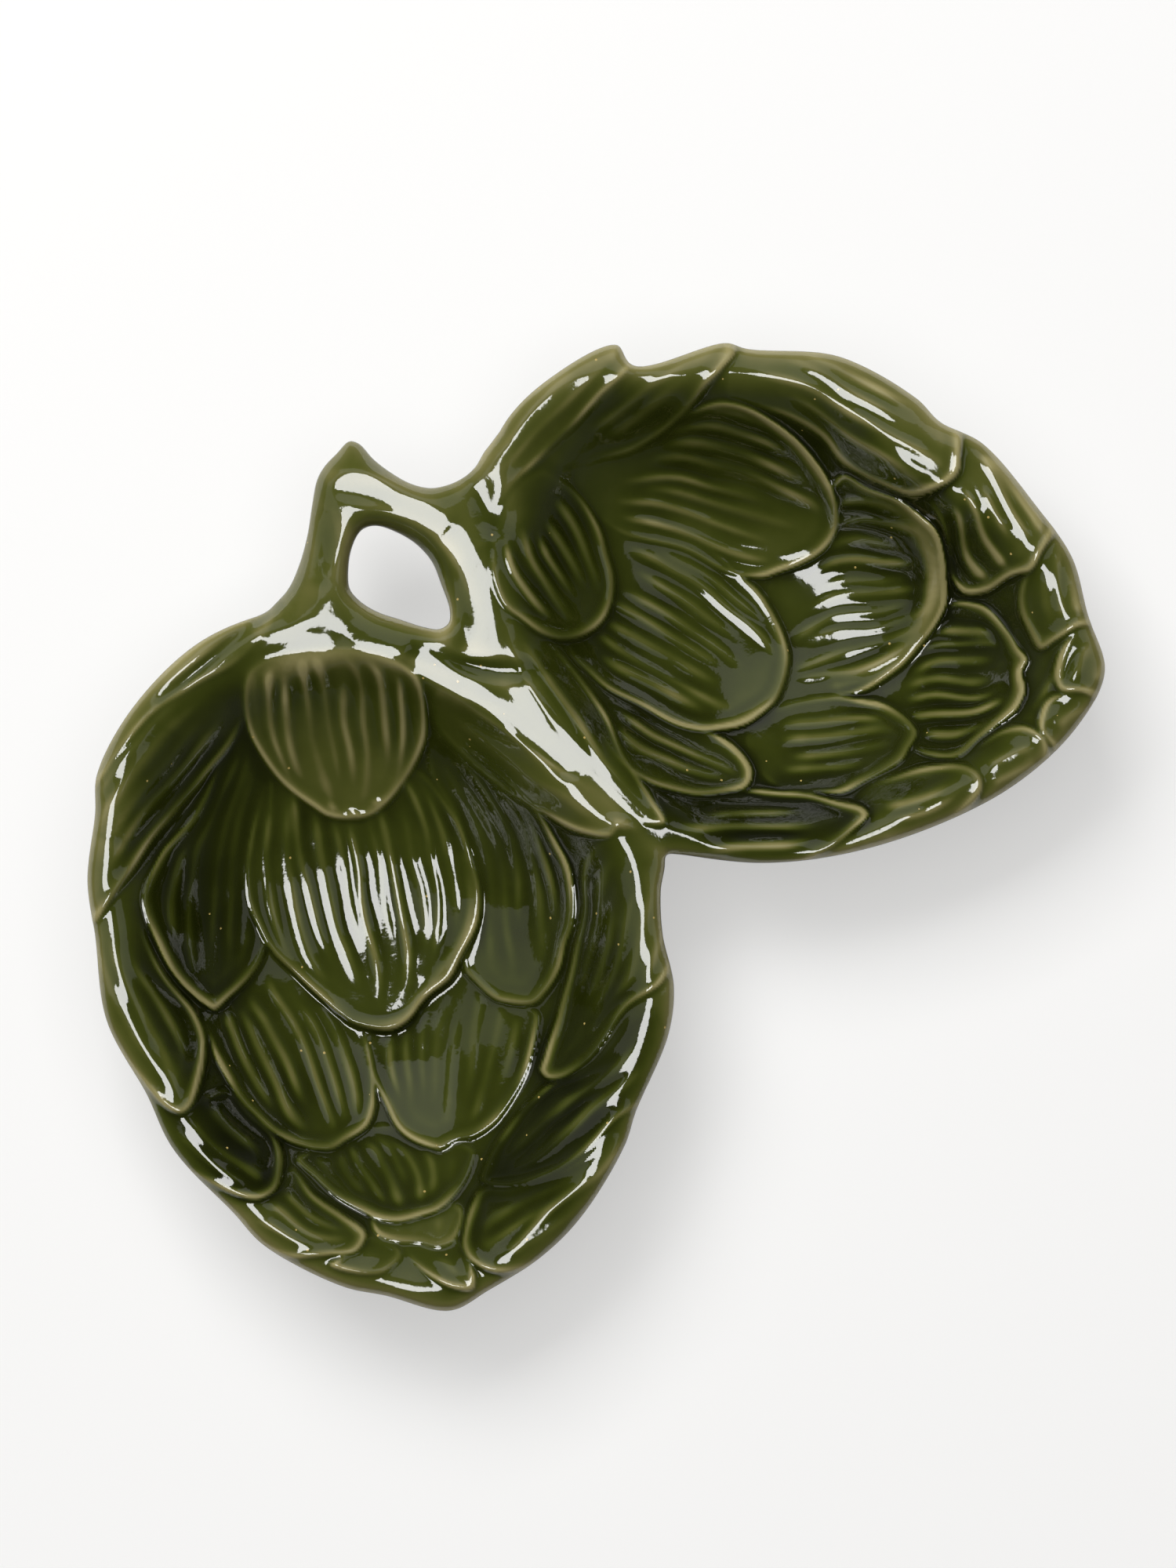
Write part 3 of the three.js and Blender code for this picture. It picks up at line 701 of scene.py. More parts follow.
def under_height(x, y):
    """Outer skin: flat over the foot, flaring to the rim, and rounded under the stem."""
    height = np.full(np.shape(x), OVER_ALL)
    for bowl in BOWLS:
        radius, reach = around(bowl, x, y)
        flare = np.clip((radius / (reach - OUTLINE_INSET) - SEAT_SHARE) / (1 - SEAT_SHARE), 0, 2)
        wall = UNDERSIDE + (WALL_TOP - UNDERSIDE) * flare**WALL_ROUNDNESS
        height = smooth_min(height, wall, UNDER_BLEND)
    inside = -outline_edge(x, y)
    edge = RIM_HEIGHT - STEM_DROP - STEM_ROLL - STEM_LIP
    t = np.clip(1 - inside / STEM_RADIUS, 0, 1)
    stem = edge - (edge - RIM_HEIGHT + STEM_THICKNESS) * (1 - t * t)
    fade = smooth_step(*STEM_FADE_RUN, stem_part_edge(STEM, x, y))
    fade = fade * smooth_step(*STEM_FADE_RIM_RUN, bowls_edge(x, y))
    return smooth_min(height, stem + STEM_FADE * fade, UNDER_BLEND)


# Relief

def on_sheet(spots):
    """Millimetres in plan for spots on the sheet, which lies at the rim and is seen from the camera."""
    flat = (np.asarray(spots, float) - SHEET_MIDDLE) * (SHEET_UNIT, -SHEET_UNIT)
    depth = CAMERA_PLACE[2] - plain_top(flat[..., 0], flat[..., 1])
    spread = depth / (CAMERA_PLACE[2] - RIM_HEIGHT)
    return CAMERA_PLACE[:2] + (flat - CAMERA_PLACE[:2]) * spread[..., None]


def bract_ribs(bract, chance, s, u, half):
    """Long ridges along a bract, each with its own place, height and ends."""
    count = max(1, int(round(2 * half.max() / RIB_PITCH)))
    ridges = np.zeros_like(s)
    for k in range(count):
        place = -1 + (2 * k + 1 + chance.uniform(-RIB_SHIFT, RIB_SHIFT)) / count
        drift = chance.uniform(-RIB_DRIFT, RIB_DRIFT)
        wave = RIB_WAVE * np.sin(chance.uniform(*RIB_WAVE_COUNTS) * s + chance.uniform(*RIB_WAVE_PHASES))
        start = chance.uniform(*RIB_STARTS)
        stop = chance.uniform(*RIB_STOPS)
        away = (u - place - drift * (s - 0.5) - wave) * half
        breadth = RIB_BREADTH * chance.uniform(*RIB_BREADTHS)
        height = chance.uniform(*RIB_HEIGHTS) * smooth_step(start, start + RIB_RUN_IN, s)
        height = height * smooth_step(stop, stop - RIB_RUN_OUT, s)
        ridges += height * np.exp(-((away / breadth) ** 2))
    return RIB_RISE * bract.ribs * ridges


def bract_relief(bract, x, y, seed):
    """Height of one bract over the plain skin, and minus one where it isn't."""
    chance = np.random.default_rng(seed)
    line = curve_through(on_sheet(bract.outline), True, BRACT_SPAN)
    base = on_sheet(bract.base)
    run = on_sheet(bract.tip) - base
    length = np.hypot(*run)
    ux, uy = run / length

    def along_and_across(px, py):
        along = ((px - base[0]) * ux + (py - base[1]) * uy) / length
        return along, -(px - base[0]) * uy + (py - base[1]) * ux

    along, across = along_and_across(x, y)
    s = np.clip(along, 0, 1)
    line_along, line_across = along_and_across(*line.T)
    stations = np.linspace(0, 1, STATIONS)
    low = np.zeros(STATIONS)
    high = np.zeros(STATIONS)
    for k, station in enumerate(np.clip(stations, line_along.min(), line_along.max())):
        near = line_across[np.abs(line_along - station) < STATION_REACH]
        low[k], high[k] = near.min(), near.max()
    low = np.convolve(np.pad(low, 2, mode="edge"), STATION_SOFTENING, "valid")
    high = np.convolve(np.pad(high, 2, mode="edge"), STATION_SOFTENING, "valid")
    half = np.interp(s, stations, (high - low) / 2)
    half = np.maximum(half, LEAST_HALF * half.max())
    u = (across - np.interp(s, stations, (high + low) / 2)) / half

    inside = -loop_edge(line, x, y)
    free = smooth_step(*FREE_RUN, s)
    ribs = bract_ribs(bract, chance, s, u, half) * smooth_step(*RIB_EDGE_RUN, inside)
    bead = BEAD_RISE * free * np.exp(-(((inside - BEAD_IN) / BEAD_SPREAD) ** 2))
    hollow = -HOLLOW * free * np.exp(-(((inside - HOLLOW_IN) / HOLLOW_SPREAD) ** 2))
    rounded = np.sqrt(1 - (1 - np.clip(inside / EDGE_ROUND, 0, 1)) ** 2)
    rise = BASE_LIFT + (LIFT_SHARE * bract.lift - BASE_LIFT) * s**LIFT_CURVE
    lift = (rise + bead + hollow) * rounded + ribs
    return np.where(inside > 0, lift, -1)


def blurred(field, spread):
    """Gaussian blur of a plan field; spread in millimetres."""
    ky = np.fft.fftfreq(field.shape[0], STEP)[:, None]
    kx = np.fft.rfftfreq(field.shape[1], STEP)[None]
    soft = np.exp(-2 * (math.pi * spread) ** 2 * (kx**2 + ky**2))
    return np.fft.irfft2(np.fft.rfft2(field) * soft, s=field.shape)


def hand_noise(seed, spread):
    """An even field of soft random swells with a standard deviation of one."""
    field = blurred(np.random.default_rng(seed).standard_normal(X.shape), spread)
    return field / field.std()


def nearest_spots(line):
    """For each grid point, the number of the nearest spot on a line and its distance squared."""
    number = np.zeros(X.shape, int)
    nearest = np.full(X.shape, FAR_SQUARED)
    for k, (px, py) in enumerate(line):
        away = (X - px) ** 2 + (Y - py) ** 2
        closer = away < nearest
        nearest[closer] = away[closer]
        number[closer] = k
    return number, nearest


def fold_relief(fold):
    """A rounded fold or crease along a line, which runs out at both ends."""
    line = respaced(curve_through(on_sheet(fold.line), False, FOLD_SPAN), FOLD_STEP, False)
    number, nearest = nearest_spots(line)
    height = FOLD_END + (1 - FOLD_END) * np.sin(math.pi * number / (len(line) - 1))
    return fold.rise * height * np.exp(-nearest / fold.spread**2)


for each in BOWLS:
    prepare_bowl(each)

GRID_X = np.arange(-GRID_REACH[0], GRID_REACH[0], STEP)
GRID_Y = np.arange(-GRID_REACH[1], GRID_REACH[1], STEP)
X, Y = np.meshgrid(GRID_X, GRID_Y)
OUTLINE = outline_edge(X, Y)
PLAIN = plain_top(X, Y)


def all_bracts():
    """Relief of the bracts, each over the last, and the painted shading of the one on top."""
    dy, dx = np.gradient(PLAIN, STEP)
    tilt = np.minimum(np.sqrt(1 + dx**2 + dy**2), STEEPEST)
    wandered_x = X + WANDER * hand_noise(WANDER_SEED_X, WANDER_SPREAD)
    wandered_y = Y + WANDER * hand_noise(WANDER_SEED_Y, WANDER_SPREAD)
    relief = np.zeros_like(PLAIN)
    painted_shadings = np.zeros_like(PLAIN)
    seed = 0
    for bowl, sign in ((LEFT_BOWL, -1), (RIGHT_BOWL, 1)):
        own = seam_side(X, Y) * sign > -SEAM_OVERLAP
        for bract in bowl["bracts"]:
            seed += 1
            spots = on_sheet(bract.outline)
            low = spots.min(0) - BRACT_MARGIN
            high = spots.max(0) + BRACT_MARGIN
            i0, i1 = np.searchsorted(GRID_X, (low[0], high[0]))
            j0, j1 = np.searchsorted(GRID_Y, (low[1], high[1]))
            part = np.s_[j0:j1, i0:i1]
            lift = bract_relief(bract, wandered_x[part], wandered_y[part], seed) * tilt[part]
            lift = np.where(own[part], lift, -1)
            painted_shadings[part] = np.where(lift > relief[part], bract.tone, painted_shadings[part])
            relief[part] = np.maximum(relief[part], lift)
    return relief, painted_shadings


def plan_relief():
    """Relief and the bracts' painted shading over the plain skin, softened as under a glaze."""
    relief, painted_shadings = all_bracts()
    relief *= RIM_RELIEF + (1 - RIM_RELIEF) * smooth_step(*RIM_RELIEF_RUN, OUTLINE)
    relief *= smooth_step(*SEAM_RUN, np.abs(seam_side(X, Y)))
    for fold in FOLDS:
        relief += fold_relief(fold)
    for bowl in BOWLS:
        dx = X - bowl["centre"][0]
        dy = Y - bowl["centre"][1]
        near = np.exp(-0.5 * (dx**2 + dy**2) / FLOOR_LEAN**2)
        relief += (bowl["lean"][0] * dx + bowl["lean"][1] * dy) * near
    return blurred(relief, RELIEF_SOFTNESS), blurred(painted_shadings, PAINTED_SHADING_SOFTNESS)


RELIEF, PAINTED_SHADINGS = plan_relief()


def sampled(field, x, y):
    """Bilinear value of a plan field."""
    i = (x - GRID_X[0]) / STEP
    j = (y - GRID_Y[0]) / STEP
    i0 = np.clip(i.astype(int), 0, len(GRID_X) - 2)
    j0 = np.clip(j.astype(int), 0, len(GRID_Y) - 2)
    fi = i - i0
    fj = j - j0
    upper = field[j0 + 1, i0] * (1 - fi) + field[j0 + 1, i0 + 1] * fi
    lower = field[j0, i0] * (1 - fi) + field[j0, i0 + 1] * fi
    return lower * (1 - fj) + upper * fj


def edge_fall():
    """Gentle drop of the upper skin towards the outline, with the waves of the skin."""
    solid = (OUTLINE < 0).astype(float)
    rim = CROWN_DROP * 2 * (1 - blurred(solid, CROWN_SPREAD))
    stem = STEM_DROP * (2 * (1 - blurred(solid, STEM_SPREAD))) ** 2
    share = smooth_step(*STEM_CROWN_RUN, stem_part_edge(STEM, X, Y))
    share = share * smooth_step(*STEM_CROWN_RIM_RUN, bowls_edge(X, Y))
    swell = RIM_SWELL * hand_noise(SWELL_SEED, RIM_SWELL_SPREAD)
    swell = swell * np.exp(np.minimum(OUTLINE, 0) / RIM_SWELL_REACH)
    return rim + (stem - rim) * share + WAVES * hand_noise(WAVES_SEED, WAVES_SPREAD) + swell


def flattened(height):
    """What the flat runs take off a plan field of heights."""
    taken = np.zeros_like(height)
    for flat in FLATS:
        line = respaced(curve_through(on_sheet(flat.line), False, FOLD_SPAN), FLAT_STEP, False)
        number, nearest = nearest_spots(line)
        tilt = (X - line[number, 0]) * FLAT_TILT[0] + (Y - line[number, 1]) * FLAT_TILT[1]
        near = np.exp(-((nearest / flat.spread**2) ** 2))
        taken = np.maximum(taken, near * (height - smooth_min(height, flat.level + tilt, FLAT_BLEND)))
    return taken


CROWN = edge_fall()
CROWN += flattened(PLAIN + RELIEF - CROWN)


def top_height(x, y):
    """Upper skin, finished."""
    raised = np.minimum(plain_top(x, y) + sampled(RELIEF, x, y), TOP_LIMIT)
    return raised - sampled(CROWN, x, y) - edge_roll(-outline_edge(x, y), edge_radius(x, y))


def under_skin(x, y):
    """Outer skin, kept below the upper one."""
    return np.minimum(under_height(x, y), top_height(x, y) - THINNEST)


# Glaze, with painted light and painted shade in its depth

def pooled(pooling):
    """Change of the glaze's depth over crests, below zero, and in hollows."""
    hollow = pooling.most * np.tanh((blurred(RELIEF, pooling.spread) - RELIEF) / pooling.most)
    return np.minimum(pooling.thins * hollow, pooling.pools * hollow)


def glaze_depth_and_shade():
    """0 where the glaze runs thin over edges, 1 where it pools; painted shade on steep walls, painted light
    on high parts and the bracts' painted shading are added in.
    """
    patchy = np.clip(1 + PATCHY * hand_noise(PATCHY_SEED, PATCHY_SPREAD), *PATCHY_RANGE)
    crests = sum(pooled(pooling) for pooling in POOLINGS) * patchy
    inside = np.minimum(OUTLINE, 0)
    stem = smooth_step(*STEM_GLAZE_RUN, bowls_edge(X, Y))
    thin_rim = RIM_THIN * np.exp(inside / RIM_THIN_IN) + RIM_PALE * np.exp(inside / RIM_PALE_IN)
    thin_rim *= 1 - STEM_RIM_LESS * stem
    # Painted light: paler glaze over the high parts of the dish.
    high = HIGH_PAINTED_LIGHT * smooth_step(*HIGH_RUN, PLAIN)
    # Painted shade: darker glaze on the steep walls.
    dy, dx = np.gradient(PLAIN, STEP)
    wall = WALL_PAINTED_SHADE * smooth_step(*WALL_SLOPES, np.hypot(dx, dy))
    return np.clip(PLAIN_DEPTH + wall + PAINTED_SHADINGS + crests - thin_rim - high - STEM_PALE * stem, 0, 1)


def top_glaze_and_shade(x, y):
    return sampled(GLAZE_AND_SHADE, x, y)


def under_glaze(x, y):
    inside = -sampled(OUTLINE, x, y)
    return np.clip(UNDER_DEPTH - UNDER_THIN * np.exp(-inside / UNDER_THIN_IN), 0, 1)


GLAZE_AND_SHADE = glaze_depth_and_shade()
TOP = np.minimum(PLAIN + RELIEF, TOP_LIMIT) - CROWN - edge_roll(-OUTLINE, edge_radius(X, Y))
UNDER = np.minimum(under_height(X, Y), TOP - THINNEST)


# Lines that the skins share

# Rounds that settle the rim on its cut, and the step that finds the way out of the outline
SETTLING_ROUNDS = 4
OUTWARD_STEP = 0.05

# A line's end joins an edge within this reach, at the edge's own end if that is the same spot.
ATTACH_REACH = 0.1
SAME_SPOT = 0.2

# Halvings that find where a line leaves the dish, and spots along the seam
HALVINGS = 24
SEAM_SPOTS = 1200


def contour(field, level):
    """Closed loops of points where a plan field crosses a level."""
    inside = field < level
    mixed = inside[:-1, :-1] + 2 * inside[:-1, 1:] + 4 * inside[1:, 1:] + 8 * inside[1:, :-1]
    joins = {}
    spots = {}

    def crossing(a, b):
        share = (level - field[a]) / (field[b] - field[a])
        x = GRID_X[a[1]] + share * (GRID_X[b[1]] - GRID_X[a[1]])
        y = GRID_Y[a[0]] + share * (GRID_Y[b[0]] - GRID_Y[a[0]])
        return x, y

    for j, i in zip(*np.nonzero((mixed > 0) & (mixed < 15))):
        corners = [(j, i), (j, i + 1), (j + 1, i + 1), (j + 1, i)]
        ends = []
        for a, b in zip(corners, corners[1:] + corners[:1]):
            if inside[a] != inside[b]:
                key = (min(a, b), max(a, b))
                spots.setdefault(key, crossing(*key))
                ends.append(key)
        for a, b in zip(ends[::2], ends[1::2]):
            joins.setdefault(a, []).append(b)
            joins.setdefault(b, []).append(a)
    loops = []
    while joins:
        start = next(iter(joins))
        loop = [start]
        here = joins.pop(start)[0]
        while here != start:
            loop.append(here)
            here = next(k for k in joins.pop(here) if k in joins or (k == start and len(loop) > 2))
        loops.append(np.array([spots[key] for key in loop]))
    return loops


def outward(x, y):
    """Unit direction out of the outline, in plan."""
    gx = outline_edge(x + OUTWARD_STEP, y) - outline_edge(x - OUTWARD_STEP, y)
    gy = outline_edge(x, y + OUTWARD_STEP) - outline_edge(x, y - OUTWARD_STEP)
    size = np.hypot(gx, gy)
    return gx / size, gy / size


class Plan:
    """Points and edges that the inner and outer skin share: the rim and the lines between the pieces."""

    def __init__(self):
        self.points = np.zeros((0, 2))
        self.edges = []
        self.rim_edges = set()

    def add(self, points):
        first = len(self.points)
        self.points = np.vstack([self.points, points])
        return list(range(first, len(self.points)))

    def add_loop(self, loop):
        """A closed line of the rim, settled on the cut and turned the same way round as the others."""
        loop = respaced(loop, RIM_STEP, True)
        for _ in range(SETTLING_ROUNDS):
            nx, ny = outward(loop[:, 0], loop[:, 1])
            off = outline_edge(loop[:, 0], loop[:, 1]) + RIM_CUT
            loop = loop - np.c_[nx * off, ny * off]
        a, b = loop[0], loop[1]
        nx, ny = outward(loop[:1, 0], loop[:1, 1])
        if (b[0] - a[0]) * -ny[0] + (b[1] - a[1]) * nx[0] < 0:
            loop = loop[::-1]
        ids = self.add(loop)
        for pair in zip(ids, ids[1:] + ids[:1]):
            self.edges.append(pair)
            self.rim_edges.add(pair)

    def attach(self, spot):
        """Index of the point at this spot, which splits an edge where needed; None if nothing is near."""
        ends = np.array(self.edges)
        a = self.points[ends[:, 0]]
        b = self.points[ends[:, 1]]
        t = np.clip(((spot - a) * (b - a)).sum(1) / ((b - a) ** 2).sum(1), 0, 1)
        away = np.hypot(*(a + t[:, None] * (b - a) - spot).T)
        k = int(np.argmin(away))
        if away[k] > ATTACH_REACH:
            return None
        for end in self.edges[k]:
            if np.hypot(*(self.points[end] - spot)) < SAME_SPOT:
                return end
        first, last = self.edges[k]
        new = self.add(spot[None])[0]
        self.edges[k] = (first, new)
        self.edges.append((new, last))
        if (first, last) in self.rim_edges:
            self.rim_edges.remove((first, last))
            self.rim_edges.update([(first, new), (new, last)])
        return new

    def add_cut(self, path):
        """An open line between two pieces, joined to what its ends meet."""
        path = respaced(path, RIM_STEP, False)
        start = self.attach(path[0])
        end = self.attach(path[-1])
        ids = self.add(path[1:-1])
        if start is None:
            start = self.add(path[:1])[0]
        if end is None:
            end = self.add(path[-1:])[0]
        ids = [start] + ids + [end]
        self.edges.extend(zip(ids, ids[1:]))


def kept_runs(path, keep):
    """Stretches of a dense line where keep holds, with their ends found exactly."""
    held = keep(path[:, 0], path[:, 1])
    runs = []
    starts = [k for k in range(len(path)) if held[k] and (k == 0 or not held[k - 1])]
    for start in starts:
        stop = start
        while stop + 1 < len(path) and held[stop + 1]:
            stop += 1
        run = path[start:stop + 1]
        if start > 0:
            run = np.vstack([last_kept(path[start], path[start - 1], keep), run])
        if stop + 1 < len(path):
            run = np.vstack([run, last_kept(path[stop], path[stop + 1], keep)])
        runs.append(run)
    return runs


def last_kept(inside, outside, keep):
    """The last spot where keep holds on the way between two spots."""
    low, high = 0.0, 1.0
    for _ in range(HALVINGS):
        share = (low + high) / 2
        spot = inside + share * (outside - inside)
        if keep(spot[:1], spot[1:])[0]:
            low = share
        else:
            high = share
    return inside + low * (outside - inside)


def inset_outline(bowl):
    """A bowl's outline with its inset, from a point far from the stem."""
    line = bowl["outline"]
    run = np.roll(line, -1, 0) - np.roll(line, 1, 0)
    run /= np.linalg.norm(run, axis=1, keepdims=True)
    line = line + OUTLINE_INSET * np.c_[run[:, 1], -run[:, 0]]
    return np.roll(line, len(line) // 2, 0)


def in_dish(x, y):
    return outline_edge(x, y) < -RIM_CUT


def on_left_joint(x, y):
    return in_dish(x, y) & past_corner(STEM_PIECE_CORNER, x, y) & (seam_side(x, y) <= 0)


def on_right_joint(x, y):
    return in_dish(x, y) & past_corner(STEM_PIECE_CORNER, x, y) & (seam_side(x, y) > 0)


def on_seam(x, y):
    return in_dish(x, y) & ((bowls_edge(x, y) < 0) | ~past_corner(STEM_PIECE_CORNER, x, y))


def shared_plan():
    plan = Plan()
    for loop in contour(OUTLINE, -RIM_CUT):
        plan.add_loop(loop)
    seam = SEAM[0] + np.linspace(0, 1, SEAM_SPOTS)[:, None] * (SEAM[1] - SEAM[0])
    cuts = [
        (inset_outline(LEFT_BOWL), on_left_joint),
        (seam, on_seam),
        (inset_outline(RIGHT_BOWL), on_right_joint),
    ]
    for line, keep in cuts:
        for run in kept_runs(line, keep):
            plan.add_cut(run)
    return plan


PLAN = shared_plan()
RIM = np.array(sorted({k for edge in PLAN.rim_edges for k in edge}))


# Mesh

# What the triangulation puts out, and how near two points may come in it
INSIDE_TRIANGLES = 1
POINT_TOLERANCE = 1e-6

# A joint's two sides are looked up this share of an edge's length away from it.
JOINT_SIDE = 0.1

# Keeps a normal of no length from being divided by nothing
NO_LENGTH = 1e-12


def triangulated(stride, skins):
    """Points, triangles and their pieces of one skin, with a lattice of every stride-th grid point.

    A skin is the function for its values at the shared points, and its values on the grid.
    """
    part = np.s_[::stride, ::stride]
    free = OUTLINE[part] < -RIM_CUT - CLEARANCE
    cut = np.array(sorted({k for edge in PLAN.edges if edge not in PLAN.rim_edges for k in edge}))
    lattice = np.c_[X[part][free], Y[part][free]]
    blocked = np.zeros(len(lattice), bool)
    for spot in PLAN.points[cut]:
        blocked |= np.hypot(lattice[:, 0] - spot[0], lattice[:, 1] - spot[1]) < CLEARANCE
    points = np.vstack([PLAN.points, lattice[~blocked]])
    values = [np.concatenate([own(*PLAN.points.T), grid[part][free][~blocked]]) for own, grid in skins]
    coords, _, faces, origins, _, _ = delaunay_2d_cdt(
        [Vector(p) for p in points], PLAN.edges, [], INSIDE_TRIANGLES, POINT_TOLERANCE
    )
    if len(coords) != len(points):
        raise RuntimeError(f"the plan has {len(coords) - len(points)} crossing lines")
    source = np.array([ids[0] for ids in origins])
    triangles = source[np.array(faces)]
    a, b, c = (points[triangles[:, k]] for k in range(3))
    turn = (b[:, 0] - a[:, 0]) * (c[:, 1] - a[:, 1]) - (b[:, 1] - a[:, 1]) * (c[:, 0] - a[:, 0])
    triangles[turn < 0] = triangles[turn < 0][:, ::-1]
    middle = (a + b + c) / 3
    keep = np.ones(len(triangles), bool)
    rim_only = (triangles < len(PLAN.points)).all(1)
    keep[rim_only] = outline_edge(*middle[rim_only].T) < -RIM_CUT
    return points, values, triangles[keep], piece_at(*middle[keep].T)


def rim_rings(top, under):
    """Rings of points round the edge, from the upper skin to the outer one, whose rim is lowered to fit."""
    x, y = PLAN.points[RIM].T
    nx, ny = outward(x, y)
    radius = edge_radius(x, y)
    start = np.arccos(np.clip(1 - RIM_CUT / radius, -1, 1))
    middle = top[RIM, 2] - radius * np.sin(start)
    under[RIM, 2] = np.minimum(under[RIM, 2], middle - LEAST_EDGE)

    def ring(out, height):
        return np.c_[x + nx * out, y + ny * out, height]

    rings = []
    for share in ROLL_SHARES:
        out = RIM_CUT - radius * (1 - np.cos(start * share))
        rings.append(ring(out, middle + radius * np.sin(start * share)))
    for turn in np.radians(LOWER_TURNS):
        drop = (middle - under[RIM, 2]) * np.sin(turn)
        rings.append(ring(RIM_CUT * np.cos(turn), middle - drop))
    return rings


def rim_strips(column):
    """Triangles round the edge and their pieces, and the pieces before and after each rim point."""
    strips = []
    pieces = []
    before = {}
    after = {}
    for a, b in sorted(PLAN.rim_edges):
        piece = piece_of((PLAN.points[a] + PLAN.points[b]) / 2)
        after[a] = piece
        before[b] = piece
        ca, cb = column(a), column(b)
        for k in range(len(ca) - 1):
            strips += [(ca[k], ca[k + 1], cb[k + 1]), (ca[k], cb[k + 1], cb[k])]
            pieces += [piece, piece]
    return strips, pieces, before, after


def joint_walls(column, first_under, before, after):
    """Walls where two pieces meet, once for each of them, and their pieces."""
    walls = []
    pieces = []

    def add_both(faces, one, other):
        walls.extend(faces + [face[::-1] for face in faces])
        pieces.extend([one] * len(faces) + [other] * len(faces))

    for k in RIM:
        if before[k] != after[k]:
            line = column(k)
            fan = [(line[0], line[n], line[n + 1]) for n in range(1, len(line) - 1)]
            add_both(fan, before[k], after[k])
    for a, b in PLAN.edges:
        if (a, b) in PLAN.rim_edges:
            continue
        middle = (PLAN.points[a] + PLAN.points[b]) / 2
        run = PLAN.points[b] - PLAN.points[a]
        left = np.array([-run[1], run[0]]) * JOINT_SIDE
        wall = [(a, first_under + a, first_under + b), (a, first_under + b, b)]
        add_both(wall, piece_of(middle + left), piece_of(middle - left))
    return walls, pieces


def whole_dish():
    """Vertices, glaze depths with painted light and shade, and the triangles of skin and joint with their
    pieces.
    """
    upper = [(top_height, TOP), (top_glaze_and_shade, GLAZE_AND_SHADE)]
    lower = [(under_skin, UNDER), (under_glaze, under_glaze(X, Y))]
    top_points, (top_z, top_depth_and_shade), top_triangles, top_piece = triangulated(1, upper)
    under_points, (under_z, under_depth), under_triangles, under_piece = triangulated(UNDER_STEP, lower)
    top = np.c_[top_points, top_z]
    under = np.c_[under_points, under_z]
    rings = rim_rings(top, under)
    ring_depths_and_shade = []
    for k in range(len(rings)):
        share = (k + 1) / (len(rings) + 1)
        ring_depths_and_shade.append(top_depth_and_shade[RIM] * (1 - share) + under_depth[RIM] * share)
    first_under = len(top)
    first_ring = first_under + len(under)
    rank = {k: n for n, k in enumerate(RIM)}

    def column(k):
        """Vertex ids from the top to the underside at a rim point."""
        ids = [first_ring + r * len(RIM) + rank[k] for r in range(len(rings))]
        return [k] + ids + [first_under + k]

    strips, strip_piece, before, after = rim_strips(column)
    walls, wall_piece = joint_walls(column, first_under, before, after)
    vertices = np.vstack([top, under, *rings])
    depths_and_shade = np.concatenate([top_depth_and_shade, under_depth, *ring_depths_and_shade])
    skin = np.vstack([top_triangles, under_triangles[:, ::-1] + first_under, strips])
    skin_piece = np.concatenate([top_piece, under_piece, strip_piece])
    return vertices, depths_and_shade, skin, skin_piece, np.array(walls), np.array(wall_piece)


# Pieces

def mesh_object(name, vertices, triangles, material):
    mesh = bpy.data.meshes.new(name)
    mesh.vertices.add(len(vertices))
    mesh.vertices.foreach_set("co", (vertices * MM).astype(np.float32).ravel())
    mesh.loops.add(3 * len(triangles))
    mesh.loops.foreach_set("vertex_index", triangles.astype(np.int32).ravel())
    mesh.polygons.add(len(triangles))
    mesh.polygons.foreach_set("loop_start", np.arange(0, 3 * len(triangles), 3, dtype=np.int32))
    mesh.update(calc_edges=True)
    mesh.shade_smooth()
    mesh.materials.append(material)
    made = bpy.data.objects.new(name, mesh)
    bpy.context.scene.collection.objects.link(made)
    return made


def make_glazed_pieces(material):
    """The three glazed pieces, whose normals run on across the joints."""
    vertices, depth, skin, skin_piece, walls, wall_piece = whole_dish()
    a, b, c = (vertices[skin[:, k]] for k in range(3))
    facing = np.cross(b - a, c - a)
    normals = np.zeros_like(vertices)
    for k in range(3):
        np.add.at(normals, skin[:, k], facing)
    normals /= np.linalg.norm(normals, axis=1, keepdims=True) + NO_LENGTH
    for number, node in enumerate(("left_bowl", "right_bowl", "stem_handle")):
        faces = np.vstack([skin[skin_piece == number], walls[wall_piece == number]])
        used = np.unique(faces)
        place = np.zeros(len(vertices), int)
        place[used] = np.arange(len(used))
        made = mesh_object(f"glazed_{node}", vertices[used], place[faces], material)
        mesh = made.data
        mesh.normals_split_custom_set_from_vertices(normals[used])
        layer = mesh.attributes.new("glaze_depth_and_shade", "FLOAT", "POINT")
        layer.data.foreach_set("value", depth[used].astype(np.float32))
        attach(made, "root")
        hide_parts(node)


def foot_profile():
    """Section of a foot ring with rounded corners: distance from its inner side, and height."""
    outer = FOOT_WIDTH - FOOT_CORNER
    upper = UNDERSIDE - FOOT_CORNER
    profile = []
    corners = [
        (outer, FOOT_CORNER, -90),
        (outer, upper, 0),
        (FOOT_CORNER, upper, 90),
        (FOOT_CORNER, FOOT_CORNER, 180),
    ]
    for cx, cz, first in corners:
        for k in range(FOOT_CORNER_STEPS + 1):
            angle = math.radians(first + 90 * k / FOOT_CORNER_STEPS)
            profile.append((cx + FOOT_CORNER * math.cos(angle), cz + FOOT_CORNER * math.sin(angle)))
    return np.array(profile)


